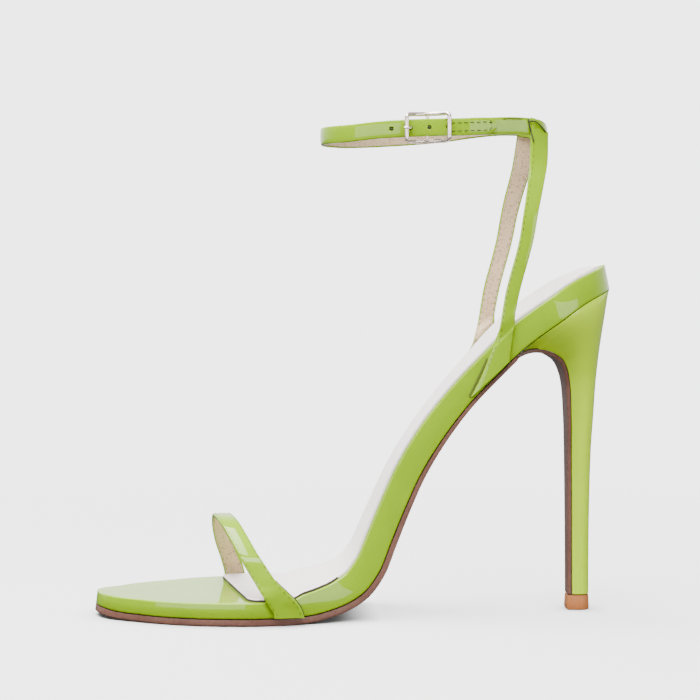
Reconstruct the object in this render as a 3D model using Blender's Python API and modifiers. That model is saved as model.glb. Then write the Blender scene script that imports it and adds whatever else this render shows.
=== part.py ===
# A left high-heeled sandal with a toe strap, two back straps and a buckled ankle strap.
# Units are metres. The toe points to -X, the outer side of the foot to -Y and up is +Z.
# The origin is on the floor, under the middle of the forefoot tread.

import math

import bmesh
import bpy
import numpy as np
from mathutils import Vector

# Last: the form that the sole and the footbed follow
LAST_LENGTH = 0.1938  # toe tip to heel back, in plan
SEAT_RISE = 0.1186  # from the tread's upper face to the back of the heel seat
BALL_WIDTH = 0.070
SEAT_WIDTH = 0.050
TREAD_SHARE = 0.288  # share of the length from the toe to the origin
TOE_ROUND = 0.012  # length over which the toe's outline closes
SEAT_ROUND = 0.022  # the same at the back of the heel

# Thicknesses
OUTSOLE = 0.0026
SHANK_SOLE = 0.0016  # its thickness along the shank
SHANK_RUNS = (0.46, 0.74)  # shares of the length between which it thins
BREAST_COVER = 0.0014  # the outsole where it goes down the front of the heel
COVER_FADE = 9  # sections of the heel over which the outsole becomes that thin
SOLE_BEVEL = 0.15  # bevel of the outsole's lower edges, as a share of its thickness
BOARD = 0.0090  # footbed in the shank, wrapped
SOCK = 0.0008
STRAP_WALL = 0.0016
ANKLE_WALL = 0.0018
GAP = 0.0003  # between pieces that meet
STRAP_GAP = 0.00045  # between a strap and the footbed's side
SEAT_GAP = 0.0004  # the same between the curved faces of footbed and heel
SOCK_INSET = 0.0015
SOCK_ENDS = (0.267, 0.985)  # shares of the length
SOCK_ROUND = 0.0045  # length over which its front corners are rounded
SOCK_FLAT = 0.80  # share of its width that the front edge runs straight
SOCK_SLANT = 0.0050  # its front edge reaches further forward at the inner side
SOCK_FRONT_RINGS = (0, 0.0003, 0.0009, 0.0018, 0.003, 0.0045, 0.009, 0.014, 0.019)
SOCK_SLANT_OVER = 0.025  # length over which the slant runs out
SOCK_SPACE = 0.01  # share of the length between its front rings and the even ones
SEAT_INSET = 0.0006  # heel block inside the footbed's edge

# Straps
TOE_STRAP_WIDTH = 0.0068
TOE_ARCH = 0.0338  # highest point of the toe strap above the tread's upper face
ANKLE_STRAP_WIDTH = 0.0064
ANKLE_RISE = 0.1810  # middle of the ankle strap above the floor, at the buckle
ANKLE_WIDTH = 0.0500
LOOP_WALL = 0.0013  # back strap where it is folded round the ankle strap
LOOP_LENGTH = 0.0066
FREE_END = 0.0250  # ankle strap past the middle of the buckle
HOLE_PITCH = 0.00675
HOLE_RADIUS = 0.0008
HOLES_BEHIND = 2  # holes between the prong and the strap's tip

# Buckle and heel tip
BUCKLE_LENGTH = 0.0156  # between the middles of its end bars
BUCKLE_HEIGHT = 0.0100
BUCKLE_CORNER = 0.0013
BUCKLE_BAR = 0.0008  # radii
CENTRE_BAR = 0.0006
PRONG = 0.00045
BUCKLE_RUN = 0.629
PRONG_REACH = 0.0062  # from the centre bar to the hole in use
TIP_HEIGHT = 0.0053
TIP_EDGE = 0.0006  # height of its bevelled edge
TIP_FLARE = 1.06  # its size there, over its top
TIP_FOOT = 1.02  # its size on the floor

# Side view of the line where footbed and outsole meet, from toe to heel. run is a share of
# LAST_LENGTH and rise of SEAT_RISE. lean tilts the footbed's edge towards the toe, in degrees.
# board and cup are shares of BOARD: its thickness, and how far its middle lies below its rim.
PROFILE = [
    # run,  rise,  lean, board, cup
    (0.000, 0.015, -7, 0.50, 0.00),
    (0.056, 0.003, 0, 0.61, 0.00),
    (0.159, 0.000, 0, 0.63, 0.00),
    (0.370, 0.000, 5, 0.67, 0.00),
    (0.401, 0.0030, 9, 0.87, 0.04),
    (0.456, 0.0220, 25, 0.98, 0.08),
    (0.504, 0.0595, 41, 1.07, 0.08),
    (0.538, 0.1270, 54, 1.07, 0.08),
    (0.561, 0.2170, 67, 1.03, 0.08),
    (0.586, 0.3140, 69, 1.03, 0.08),
    (0.616, 0.4190, 65, 1.03, 0.08),
    (0.654, 0.5210, 58, 1.03, 0.08),
    (0.706, 0.6345, 51, 1.00, 0.10),
    (0.765, 0.7370, 44, 1.01, 0.13),
    (0.811, 0.8100, 39, 1.03, 0.17),
    (0.884, 0.898, 34, 1.06, 0.20),
    (0.938, 0.956, 26, 1.03, 0.16),
    (1.000, 1.000, 11, 1.02, 0.08),
]

# Plan view. outer and inner are shares of BALL_WIDTH in front of the waist and of SEAT_WIDTH
# behind it. The round ends are left to TOE_ROUND and SEAT_ROUND.
OUTLINE = [
    # run,  outer, inner
    (0.000, 0.229, 0.157),
    (0.038, 0.236, 0.179),
    (0.071, 0.279, 0.269),
    (0.107, 0.343, 0.343),
    (0.159, 0.413, 0.423),
    (0.200, 0.450, 0.471),
    (0.247, 0.474, 0.503),
    (0.298, 0.486, 0.509),
    (0.350, 0.467, 0.477),
    (0.417, 0.436, 0.420),
    (0.494, 0.420, 0.358),
    (0.572, 0.424, 0.326),
    (0.649, 0.424, 0.318),
    (0.727, 0.438, 0.350),
    (0.804, 0.464, 0.408),
    (0.881, 0.478, 0.456),
    (0.938, 0.432, 0.424),
    (1.000, 0.380, 0.374),
]
SLOPE_STEP = 0.002  # run on each side over which a slope is measured
WAIST = (0.35, 0.65)  # where the widths pass from BALL_WIDTH to SEAT_WIDTH
INNER_DROP = 0.0018  # the inner rim lies this much lower in the shank
DROP_RUNS = (0.42, 0.93)
SOLE_RINGS = 46
END_RINGS = (0.0004, 0.004, 0.012, 0.026, 0.045)  # more of them, by distance from an end

# Half a section of the footbed, as shares across and up: its edge, and the middle of its top
FOOTBED_EDGE = [(0.5, 0), (0.965, 0), (1, 0.18), (1, 0.78), (0.985, 0.94), (0.95, 1)]
FOOTBED_TOP = (0.8, 0.45)
SOCK_ACROSS = (-1, -0.75, -0.4, 0, 0.4, 0.75, 1)

# Heel sections from the seat down to the tip. front and back are points of the side view,
# as in PROFILE. throat and belly are half widths at the front and at the widest, as shares of
# SEAT_WIDTH. seat says how much of the section follows the footbed's outline and underside.
HEEL = [
    # front_run, front_rise, back_run, back_rise, throat, belly, seat
    (0.800, 0.7930, 1.000, 1.000, 0.420, 0.450, 1.00),
    (0.821, 0.8080, 0.9960, 0.968, 0.385, 0.440, 0.80),
    (0.843, 0.8130, 0.9930, 0.937, 0.345, 0.415, 0.55),
    (0.866, 0.8070, 0.9890, 0.890, 0.295, 0.362, 0.30),
    (0.888, 0.7915, 0.9830, 0.836, 0.236, 0.290, 0.10),
    (0.905, 0.7645, 0.9780, 0.781, 0.184, 0.228, 0.00),
    (0.9165, 0.7010, 0.9730, 0.701, 0.134, 0.166, 0.00),
    (0.9205, 0.5870, 0.9685, 0.591, 0.104, 0.132, 0.00),
    (0.9215, 0.4690, 0.9635, 0.469, 0.088, 0.112, 0.00),
    (0.9225, 0.2500, 0.9600, 0.250, 0.076, 0.094, 0.00),
    (0.9230, 0.0270, 0.9590, 0.027, 0.072, 0.086, 0.00),
]
HEEL_LIP = 0.0019  # the block starts this far behind the point where outsole and footbed part
HEEL_POINTS = 9  # steps along each side of a section
BELLY_AT = 0.45  # share of a section's length at which it is widest
FOLLOW_FROM = 0.3  # share of it over which the section leaves the straight cover at its front

# Middle line of the toe strap, from the outer to the inner edge of the sole. across is a share
# of the footbed's half width there, rise of TOE_ARCH, width of TOE_STRAP_WIDTH. upright is 0
# where the strap's cut edge lies along the sole and 1 where it is square to the strap.
TOE_STRAP = [
    # run,  across, rise, width, upright
    (0.366, -1.00, 0.010, 1.62, 0.0),
    (0.361, -1.00, 0.100, 1.50, 0.3),
    (0.347, -1.00, 0.200, 1.25, 0.7),
    (0.328, -0.97, 0.330, 1.05, 1.0),
    (0.310, -0.91, 0.487, 0.98, 1.0),
    (0.292, -0.84, 0.646, 0.96, 1.0),
    (0.275, -0.69, 0.807, 0.96, 1.0),
    (0.257, -0.42, 0.956, 0.98, 1.0),
    (0.245, -0.09, 1.000, 1.00, 1.0),
    (0.2415, 0.25, 0.953, 1.00, 1.0),
    (0.2420, 0.52, 0.816, 1.00, 1.0),
    (0.2480, 0.73, 0.620, 1.00, 1.0),
    (0.2605, 0.91, 0.400, 1.05, 1.0),
    (0.2700, 1.00, 0.220, 1.15, 0.7),
    (0.2740, 1.00, 0.010, 1.25, 0.0),
]

# Edges of a back strap, from the outsole up to the ankle strap. Runs are shares of
# LAST_LENGTH, rises of ANKLE_RISE, and out is the distance from the middle plane as a share
# of SEAT_WIDTH. Below the rim the strap lies on the footbed's side instead.
BACK_STRAP = [
    # front, front_rise, rear, rear_rise, front_out, rear_out
    (0.7130, 0.452, 0.7855, 0.524, 0.440, 0.440),
    (0.7305, 0.489, 0.7885, 0.552, 0.440, 0.440),
    (0.7460, 0.529, 0.7915, 0.574, 0.440, 0.440),
    (0.7570, 0.556, 0.7935, 0.595, 0.440, 0.440),
    (0.7660, 0.587, 0.7955, 0.611, 0.494, 0.494),
    (0.7740, 0.638, 0.8005, 0.641, 0.497, 0.497),
    (0.7815, 0.679, 0.8090, 0.681, 0.500, 0.500),
    (0.8020, 0.760, 0.8300, 0.763, 0.502, 0.500),
    (0.8125, 0.822, 0.8415, 0.825, 0.488, 0.480),
    (0.8225, 0.884, 0.8550, 0.886, 0.440, 0.415),
    (0.8290, 0.932, 0.8650, 0.933, 0.388, 0.330),
    (0.8335, 1.008, 0.8690, 0.992, 0.330, 0.250),
]

INNER_FORWARD = (0.0095, 0.0040)  # the inner strap's front and rear edge lie this much further forward
INNER_MEETS = (0.86, 1.01)  # rises between which it comes back to the mirrored place

# Middle line of the ankle strap in plan, from the front of the ankle round its outer side to
# the back. across is a share of ANKLE_WIDTH and rise of ANKLE_RISE. The inner side mirrors it.
ANKLE = [
    # run,  across, rise, inner_rise
    (0.440, 0.000, 0.985, 0.9850),
    (0.450, 0.200, 0.986, 0.9845),
    (0.489, 0.360, 0.988, 0.9840),
    (0.546, 0.466, 0.994, 0.9870),
    (0.618, 0.500, 0.998, 0.9920),
    (0.690, 0.496, 1.000, 0.9990),
    (0.752, 0.452, 1.003, 1.0080),
    (0.804, 0.372, 1.005, 1.0120),
    (0.848, 0.276, 1.002, 1.0080),
    (0.866, 0.165, 0.993, 0.9970),
    (0.872, 0.000, 0.982, 0.9820),
]
ANKLE_STEPS = 92
PATH_STEP = 0.0015  # distance on each side over which the path's direction is measured
LAYER_RAMP = (0.22, 0.34)  # shares of the strap, from its tip, over which it rises onto the outside
STRAP_TIP = (0.0022, 0.55)  # length over which the free end narrows, and its share of the width there
RIM_CLEARANCE = 0.004  # height over the rim in which a strap may come inward again
RIM_LOOK = (0, 0.5, 1, 1.4)  # where the footbed's edge is measured, as shares of its lean
LOOP_ROW = 8  # row of ANKLE that the back straps are folded round

# One side of the fold's section, as shares of its half thickness and half height
FOLD_HALF = [(0.6, -1), (1, -0.85), (1, 0.85), (0.6, 1)]

# Middle line of the prong seen from above, in shares of PRONG_REACH along the strap and of
# the height at which it rests on the end bar
PRONG_LINE = [
    # along, height
    (0.21, -0.10),
    (0.13, -0.23),
    (0.00, -0.27),
    (-0.14, -0.23),
    (-0.30, -0.12),
    (-0.60, -0.08),
    (-0.86, -0.04),
    (-0.98, 0.10),
    (-1.00, 0.30),
    (-1.00, 0.66),
    (-1.05, 0.86),
    (-1.14, 0.97),
    (-1.26, 1.00),
    (-1.38, 0.96),
]

# Colours, linear
LIME = (0.40, 0.60, 0.02)
SOLE_BROWN = (0.30, 0.13, 0.08)
TIP_TAN = (0.55, 0.24, 0.08)
SOCK_PALE = (0.80, 0.72, 0.70)
ROSE_METAL = (0.80, 0.66, 0.58)


def clear_scene():
    for obj in list(bpy.data.objects):
        bpy.data.objects.remove(obj, do_unlink=True)


def collection(name):
    made = bpy.data.collections.new(name)
    bpy.context.scene.collection.children.link(made)
    return made


def finish(name, colour, roughness, metallic=0.0, coat=0.0):
    material = bpy.data.materials.new(name)
    material.use_nodes = True
    shader = material.node_tree.nodes["Principled BSDF"]
    shader.inputs["Base Color"].default_value = (*colour, 1.0)
    shader.inputs["Roughness"].default_value = roughness
    shader.inputs["Metallic"].default_value = metallic
    shader.inputs["Coat Weight"].default_value = coat
    return material


def curve_of(rows, column):
    """A smooth function of the first column that never overshoots its rows."""
    x = np.array([row[0] for row in rows])
    y = np.array([row[column] for row in rows], float)
    step = np.diff(x)
    slope = np.diff(y) / step
    tangent = np.zeros(len(x))
    tangent[0], tangent[-1] = slope[0], slope[-1]
    for i in range(1, len(x) - 1):
        before, after = slope[i - 1], slope[i]
        if before * after > 0:
            near, far = 2 * step[i] + step[i - 1], step[i] + 2 * step[i - 1]
            tangent[i] = (near + far) / (near / before + far / after)

    def value(at):
        i = int(np.clip(np.searchsorted(x, at) - 1, 0, len(step) - 1))
        t = (at - x[i]) / step[i]
        return (
            y[i] * (1 + 2 * t) * (1 - t) ** 2
            + tangent[i] * step[i] * t * (1 - t) ** 2
            + y[i + 1] * t * t * (3 - 2 * t)
            + tangent[i + 1] * step[i] * t * t * (t - 1)
        )

    return value


def smooth_rows(rows, steps, closed=False):
    """Rows of a table with more between them, on a Catmull-Rom curve through all columns."""
    table = np.array(rows, float)
    count = len(table)
    made = []
    for i in range(count if closed else count - 1):
        if closed:
            a, b, c, d = (table[(i + k) % count] for k in (-1, 0, 1, 2))
        else:
            b, c = table[i], table[i + 1]
            a = table[i - 1] if i else 2 * b - c
            d = table[i + 2] if i + 2 < count else 2 * c - b
        for k in range(steps):
            t = k / steps
            made.append(
                0.5 * (2 * b + (c - a) * t + (2 * a - 5 * b + 4 * c - d) * t**2)
                + 0.5 * (3 * b - a - 3 * c + d) * t**3
            )
    if not closed:
        made.append(table[-1])
    return made


joint_rise = curve_of(PROFILE, 1)
edge_lean = curve_of(PROFILE, 2)
board_share = curve_of(PROFILE, 3)
cup_share = curve_of(PROFILE, 4)
outer_share = curve_of(OUTLINE, 1)
inner_share = curve_of(OUTLINE, 2)


def x_of(run):
    return (run - TREAD_SHARE) * LAST_LENGTH


def run_of(x):
    return x / LAST_LENGTH + TREAD_SHARE


def z_of(rise):
    return OUTSOLE + rise * SEAT_RISE


def joint_z(run):
    return z_of(joint_rise(run))


def joint_slope(run):
    rise = joint_z(run + SLOPE_STEP) - joint_z(run - SLOPE_STEP)
    return rise / (2 * SLOPE_STEP * LAST_LENGTH)


def inner_drop(run):
    """How much lower the footbed's inner rim lies."""
    low, high = DROP_RUNS
    share = min(max((run - low) / (high - low), 0.0), 1.0)
    return INNER_DROP * math.sin(math.pi * share) ** 2


def round_end(distance, length):
    left = min(max(1 - distance / length, 0.0), 1.0)
    return math.sqrt(1 - left * left)


def half_width(run, side):
    """Half width of the footbed on its outer (side below 0) or inner edge."""
    run = min(max(run, 0.0), 1.0)
    blend = min(max((run - WAIST[0]) / (WAIST[1] - WAIST[0]), 0.0), 1.0)
    blend = blend * blend * (3 - 2 * blend)
    width = BALL_WIDTH + blend * (SEAT_WIDTH - BALL_WIDTH)
    share = outer_share(run) if side < 0 else inner_share(run)
    toe = round_end(run * LAST_LENGTH, TOE_ROUND)
    heel = round_end((1 - run) * LAST_LENGTH, SEAT_ROUND)
    return width * share * toe * heel


def even_runs(first, last, count):
    """Runs whose points lie evenly along the side view of the footbed."""
    fine = np.linspace(first, last, 400)
    points = np.array([(x_of(run), joint_z(run)) for run in fine])
    length = np.concatenate([[0], np.cumsum(np.hypot(*np.diff(points, axis=0).T))])
    return np.interp(np.linspace(0, length[-1], count), length, fine)


def sole_runs(first, last, count):
    """Even runs, with more of them where an end of the outline closes."""
    runs = list(even_runs(first, last, count))
    for share in END_RINGS:
        runs += [share] if first == 0 else []
        runs += [1 - share] if last == 1 else []
    return sorted(run for run in set(runs) if 0 < run < 1)


def footbed_point(run, across, up):
    """A point of the footbed: across from -1 to 1, up from 0 at its underside to 1 at its rim."""
    lean = math.radians(edge_lean(run))
    height = up * BOARD * board_share(run) - min(up, 1) * max(across, 0) * inner_drop(run)
    return Vector((
        x_of(run) - height * math.sin(lean),
        across * half_width(run, across),
        joint_z(run) + height * math.cos(lean),
    ))


def rim_z(run):
    """Height of the footbed's rim straight above a point of its side view."""
    height = BOARD * board_share(run)
    return joint_z(run) + height * math.hypot(1, joint_slope(run))


def loft(name, rings, material, group):
    """A closed solid through rings of points. Each ring runs along one side and back along
    the other, and the first and last ring are closed by faces between the two sides."""
    mesh = bmesh.new()
    made = [[mesh.verts.new(point) for point in ring] for ring in rings]
    count = len(made[0])
    for before, after in zip(made, made[1:]):
        for i in range(count):
            j = (i + 1) % count
            mesh.faces.new((before[i], before[j], after[j], after[i]))
    for ring in (made[0], made[-1]):
        for i in range((count - 1) // 2):
            corners = [ring[i], ring[i + 1], ring[count - 2 - i], ring[count - 1 - i]]
            mesh.faces.new(list(dict.fromkeys(corners)))
    return add_mesh(name, face_out(mesh), material, group)


def face_out(mesh):
    bmesh.ops.recalc_face_normals(mesh, faces=mesh.faces)
    if mesh.calc_volume(signed=True) < 0:
        bmesh.ops.reverse_faces(mesh, faces=mesh.faces)
    return mesh


def add_mesh(name, mesh, material, group):
    data = bpy.data.meshes.new(name)
    mesh.to_mesh(data)
    mesh.free()
    data.shade_smooth()
    data.set_sharp_from_angle(angle=math.radians(40))
    if material:
        data.materials.append(material)
    obj = bpy.data.objects.new(name, data)
    group.objects.link(obj)
    return obj


def ribbon(name, rows, wall, material, group):
    """A strap: rows of points across an open surface, given its wall by Solidify."""
    mesh = bmesh.new()
    made = [[mesh.verts.new(point) for point in row] for row in rows]
    for before, after in zip(made, made[1:]):
        for i in range(len(before) - 1):
            mesh.faces.new((before[i], before[i + 1], after[i + 1], after[i]))
    obj = add_mesh(name, mesh, material, group)
    shell = obj.modifiers.new("wall", "SOLIDIFY")
    shell.thickness = wall
    shell.offset = 0
    shell.use_even_offset = True
    return obj


def boolean(obj, other, operation):
    modifier = obj.modifiers.new(other.name, "BOOLEAN")
    modifier.operation = operation
    modifier.object = other
    other.hide_render = True
    other.display_type = "WIRE"


def tube(name, points, radius, material, group, cyclic=False):
    """A round wire along the points, as a mesh."""
    data = bpy.data.curves.new(name, "CURVE")
    data.dimensions = "3D"
    data.bevel_depth = radius
    data.bevel_resolution = 2
    data.use_fill_caps = not cyclic
    spline = data.splines.new("POLY")
    spline.points.add(len(points) - 1)
    for target, point in zip(spline.points, points):
        target.co = (*point, 1)
    spline.use_cyclic_u = cyclic
    curve = bpy.data.objects.new(name + "_line", data)
    group.objects.link(curve)
    graph = bpy.context.evaluated_depsgraph_get()
    mesh = bmesh.new()
    mesh.from_mesh(bpy.data.meshes.new_from_object(curve.evaluated_get(graph)))
    bmesh.ops.remove_doubles(mesh, verts=mesh.verts, dist=1e-6)
    bpy.data.objects.remove(curve, do_unlink=True)
    return add_mesh(name, mesh, material, group)


def make_footbed(material, group):
    rings = []
    for run in sole_runs(0, 1, SOLE_RINGS):
        cup = cup_share(run) / board_share(run)
        half = FOOTBED_EDGE + [(across, 1 - cup * (1 - across)) for across in FOOTBED_TOP]
        outer = [footbed_point(run, -across, up) for across, up in half]
        inner = [footbed_point(run, across, up) for across, up in half]
        middle = [footbed_point(run, 0, 1 - cup), footbed_point(run, 0, 0)]
        rings.append(outer + middle[:1] + inner[::-1] + middle[1:])
    return loft("footbed", rings, material, group)


def make_sock(material, group):
    front, back = SOCK_ENDS
    rings = []
    start = [front + length / LAST_LENGTH for length in SOCK_FRONT_RINGS]
    runs = start + [run for run in sole_runs(0, 1, SOLE_RINGS) if start[-1] + SOCK_SPACE < run < back]
    for run in runs:
        lift = SOCK / BOARD / board_share(run)
        gap = GAP / BOARD / board_share(run)
        cup = cup_share(run) / board_share(run)
        inset = SOCK_INSET / max(half_width(run, -1), SOCK_INSET)
        corner = round_end((run - front) * LAST_LENGTH, SOCK_ROUND)
        reach = (1 - inset) * (SOCK_FLAT + (1 - SOCK_FLAT) * corner)
        ahead = max(1 - (run - front) * LAST_LENGTH / SOCK_SLANT_OVER, 0)
        low, high = [], []
        for share in SOCK_ACROSS:
            at = run - ahead * SOCK_SLANT / LAST_LENGTH * share * reach
            dip = cup * (1 - abs(share))
            low.append(footbed_point(at, share * reach, 1 + gap - dip))
            high.append(footbed_point(at, share * reach, 1 + gap + lift - dip))
        rings.append(low + high[::-1])
    return loft("sock", rings, material, group)


def heel_rows():
    return smooth_rows(HEEL, 3)


def sole_thickness(run):
    low, high = SHANK_RUNS
    share = min(max((run - low) / (high - low), 0.0), 1.0)
    return OUTSOLE - GAP + share * share * (3 - 2 * share) * (SHANK_SOLE - OUTSOLE)


def outsole_line():
    """Upper face of the outsole in side view, with its half widths and thickness."""
    line = []
    for run in [run for run in sole_runs(0, 1, SOLE_RINGS) if run < HEEL[0][0]]:
        gap = GAP * math.hypot(1, joint_slope(run))
        line.append((x_of(run), joint_z(run) - gap, run, None, sole_thickness(run)))
    for i, row in enumerate(heel_rows()[1:]):
        fade = min((i + 1) / COVER_FADE, 1)
        thickness = SHANK_SOLE - GAP + fade * (BREAST_COVER - SHANK_SOLE + GAP)
        half = row[4] * SEAT_WIDTH
        line.append((x_of(row[0]), z_of(row[1]), None, half, thickness))
    return line


def make_outsole(material, group):
    line = outsole_line()
    places = np.array([(x, z) for x, z, *_ in line])
    rings = []
    for i, (x, z, run, half, thickness) in enumerate(line):
        ahead, behind = places[min(i + 1, len(line) - 1)], places[max(i - 1, 0)]
        along = (ahead - behind) / np.hypot(*(ahead - behind))
        down = np.array([along[1], -along[0]])
        # the tread stays level, so the floor is met by a flat face
        if run is not None and joint_rise(run) < 1e-6:
            down = np.array([0.0, -1.0])
        outer = half_width(run, -1) if half is None else half
        inner = half_width(run, 1) if half is None else half
        low = np.array([x, z]) + down * thickness
        bevel = SOLE_BEVEL * thickness
        mid = np.array([x, z]) + down * (thickness - bevel)
        rings.append([
            Vector((x, -outer, z)),
            Vector((mid[0], -outer, mid[1])),
            Vector((low[0], -outer + bevel, low[1])),
            Vector((low[0], inner - bevel, low[1])),
            Vector((mid[0], inner, mid[1])),
            Vector((x, inner, z)),
        ])
    return loft("outsole", rings, material, group)


def heel_ring(row, first):
    """One section of the heel: along its outer side to the back, then along its inner side."""
    front_run, front_rise, back_run, back_rise, throat, belly, seat = row
    front = np.array([x_of(front_run), z_of(front_rise) + GAP])
    back = np.array([x_of(back_run), z_of(back_rise)])
    if seat < 0.5:
        front = np.array([x_of(front_run) + GAP, z_of(front_rise)])
    if first:
        front[0] += HEEL_LIP
    outer, inner = [], []
    for k in range(HEEL_POINTS + 1):
        u = 0.5 - 0.5 * math.cos(math.pi * k / HEEL_POINTS)
        x, z = front + u * (back - front)
        at = min(run_of(x), 1.0)
        under = joint_z(at) - SEAT_GAP * math.hypot(1, joint_slope(at))
        near_front = 1 if first else min(u / FOLLOW_FROM, 1)
        follow = seat * near_front * (2 - near_front)
        z += follow * (under - z)
        rise = math.sin(min(u / BELLY_AT, 1) * math.pi / 2)
        close = math.sqrt(1 - max((u - BELLY_AT) / (1 - BELLY_AT), 0) ** 2)
        own = SEAT_WIDTH * (throat + (belly - throat) * rise) * close
        for side, points_of in ((-1, outer), (1, inner)):
            edge = max(half_width(at, side) - SEAT_INSET, 0) if u < 1 else 0
            points_of.append(Vector((x, side * (own + follow * (edge - own)), z)))
    return outer + inner[-2::-1]


def make_heel(material, group):
    rings = [heel_ring(row, i == 0) for i, row in enumerate(heel_rows())]
    return loft("heel", rings, material, group)


def make_top_piece(material, group):
    top = heel_ring(HEEL[-1], False)
    front = min(point.x for point in top)
    for point in top:
        # the tip also lies under the outsole's lower end
        if point.x < front + 1e-6:
            point.x -= BREAST_COVER + GAP
    middle = sum((point for point in top), Vector()) / len(top)
    rings = []
    for z, size in ((TIP_HEIGHT, 1.0), (TIP_EDGE, TIP_FLARE), (0.0, TIP_FOOT)):
        rings.append([
            Vector((
                middle.x + (point.x - middle.x) * size,
                point.y * size,
                z,
            ))
            for point in top
        ])
    return loft("top_piece", rings, material, group)


def clear_of_footbed(point, wall):
    """Moves a strap's point out to the footbed's side where it would lie inside the rim."""
    run = run_of(point.x)
    # the footbed's edge leans, so its rim above this place belongs to a point further back
    shift = BOARD * board_share(run) * math.sin(math.radians(edge_lean(run))) / LAST_LENGTH
    widest = max(half_width(run + share * shift, point.y) for share in RIM_LOOK)
    edge = widest + STRAP_GAP + wall / 2
    over = (point.z - rim_z(run) - wall) / RIM_CLEARANCE
    if over < 1 and abs(point.y) < edge:
        keep = min(max(over, 0.0), 1.0)
        point.y = math.copysign(edge + keep * (abs(point.y) - edge), point.y)
    return point


def make_toe_strap(material, group):
    rows = []
    for run, across, rise, width, upright in smooth_rows(TOE_STRAP, 2):
        edge = half_width(run, across) + GAP + STRAP_WALL / 2
        middle = Vector((x_of(run), across * edge, z_of(0) + rise * TOE_ARCH))
        rows.append((middle, width, upright))
    strap = []
    for i, (point, width, upright) in enumerate(rows):
        ahead, behind = rows[min(i + 1, len(rows) - 1)][0], rows[max(i - 1, 0)][0]
        along = (ahead - behind).normalized()
        level = Vector((1, 0, 0))
        square = (level - along * level.dot(along)).normalized()
        wide = level.lerp(square, upright).normalized() * width * TOE_STRAP_WIDTH / 2
        points = [point - wide, point, point + wide]
        strap.append([clear_of_footbed(p, STRAP_WALL) for p in points])
    return ribbon("toe_strap", strap, STRAP_WALL, material, group)


def ankle_loop():
    """The ankle strap's middle line as a closed list of points, seen from above clockwise."""
    outer, inner = [], []
    for run, across, rise, inner_rise in ANKLE:
        outer.append((x_of(run), -across * ANKLE_WIDTH, rise * ANKLE_RISE))
        inner.append((x_of(run), across * ANKLE_WIDTH, inner_rise * ANKLE_RISE))
    return [Vector(point) for point in smooth_rows(outer + inner[-2:0:-1], 6, closed=True)]


class Path:
    """Points by distance along a closed line, with the way out of it in plan."""

    def __init__(self, points):
        self.points = points + points[:1]
        steps = [(b - a).length for a, b in zip(self.points, self.points[1:])]
        self.length = np.concatenate([[0], np.cumsum(steps)])

    def at(self, distance):
        distance %= self.length[-1]
        place = [np.interp(distance, self.length, [p[i] for p in self.points]) for i in range(3)]
        return Vector(place)

    def along(self, distance):
        return (self.at(distance + PATH_STEP) - self.at(distance - PATH_STEP)).normalized()

    def out(self, distance):
        along = self.along(distance)
        return Vector((along.y, -along.x, 0)).normalized()

    def nearest(self, x, side):
        """Distance of the point at this x on the outer (-1) or inner (1) side."""
        fine = np.linspace(0, self.length[-1], 800, endpoint=False)
        places = [self.at(d) for d in fine]
        misses = [abs(p.x - x) if p.y * side > 0 else 1 for p in places]
        return fine[int(np.argmin(misses))]


def layer_step():
    return ANKLE_WALL + GAP


def make_ankle_strap(path, buckle, material, group):
    start = buckle + PRONG_LINE[0][0] * PRONG_REACH + PRONG + GAP
    length = path.length[-1] - (start - buckle) + FREE_END
    ramp_end, ramp_start = LAYER_RAMP
    tip_length, tip_width = STRAP_TIP
    rows = []
    for share in np.linspace(0, 1, ANKLE_STEPS + 1):
        distance = start + share * length
        # the free end lies outside the other layer, from the front of the ankle on
        lift = 1 - min(max((1 - share - ramp_end) / (ramp_start - ramp_end), 0.0), 1.0)
        lift = lift * lift * (3 - 2 * lift) * layer_step()
        full = round_end((1 - share) * length, tip_length)
        half = ANKLE_STRAP_WIDTH / 2 * (tip_width + (1 - tip_width) * full)
        middle = path.at(distance) + path.out(distance) * lift
        rows.append([middle + Vector((0, 0, s * half)) for s in (-1, 1)])
    return ribbon("ankle_upper", rows, ANKLE_WALL, material, group)


def make_back_strap(side, cutters):
    rows = []
    for front, front_rise, rear, rear_rise, front_out, rear_out in smooth_rows(BACK_STRAP, 2):
        if side > 0:
            low, high = INNER_MEETS
            forward = 1 - min(max((front_rise - low) / (high - low), 0.0), 1.0)
            front -= INNER_FORWARD[0] * forward
            rear -= INNER_FORWARD[1] * forward
        a = Vector((x_of(front), side * front_out * SEAT_WIDTH, front_rise * ANKLE_RISE))
        b = Vector((x_of(rear), side * rear_out * SEAT_WIDTH, rear_rise * ANKLE_RISE))
        points = [a.lerp(b, share) for share in (0, 0.25, 0.5, 0.75, 1)]
        rows.append([clear_of_footbed(p, STRAP_WALL) for p in points])
    name = "back_strap_outer" if side < 0 else "back_strap_inner"
    return ribbon(name, rows, STRAP_WALL, None, cutters)


def make_fold(path, side, cutters):
    """The end of a back strap, folded round the ankle strap."""
    distance = path.nearest(x_of(ANKLE[LOOP_ROW][0]), side)
    name = "fold_outer" if side < 0 else "fold_inner"
    high = ANKLE_STRAP_WIDTH / 2 + LOOP_WALL
    deep = ANKLE_WALL / 2 + LOOP_WALL
    rings = []
    for k in range(5):
        at = distance + (k / 4 - 0.5) * LOOP_LENGTH
        middle, out = path.at(at), path.out(at)
        up = Vector((0, 0, 1))
        half = [middle + out * a * deep + up * b * high for a, b in FOLD_HALF]
        other = [middle - out * a * deep + up * b * high for a, b in FOLD_HALF]
        rings.append(half + other[::-1])
    return loft(name, rings, None, cutters)


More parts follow.
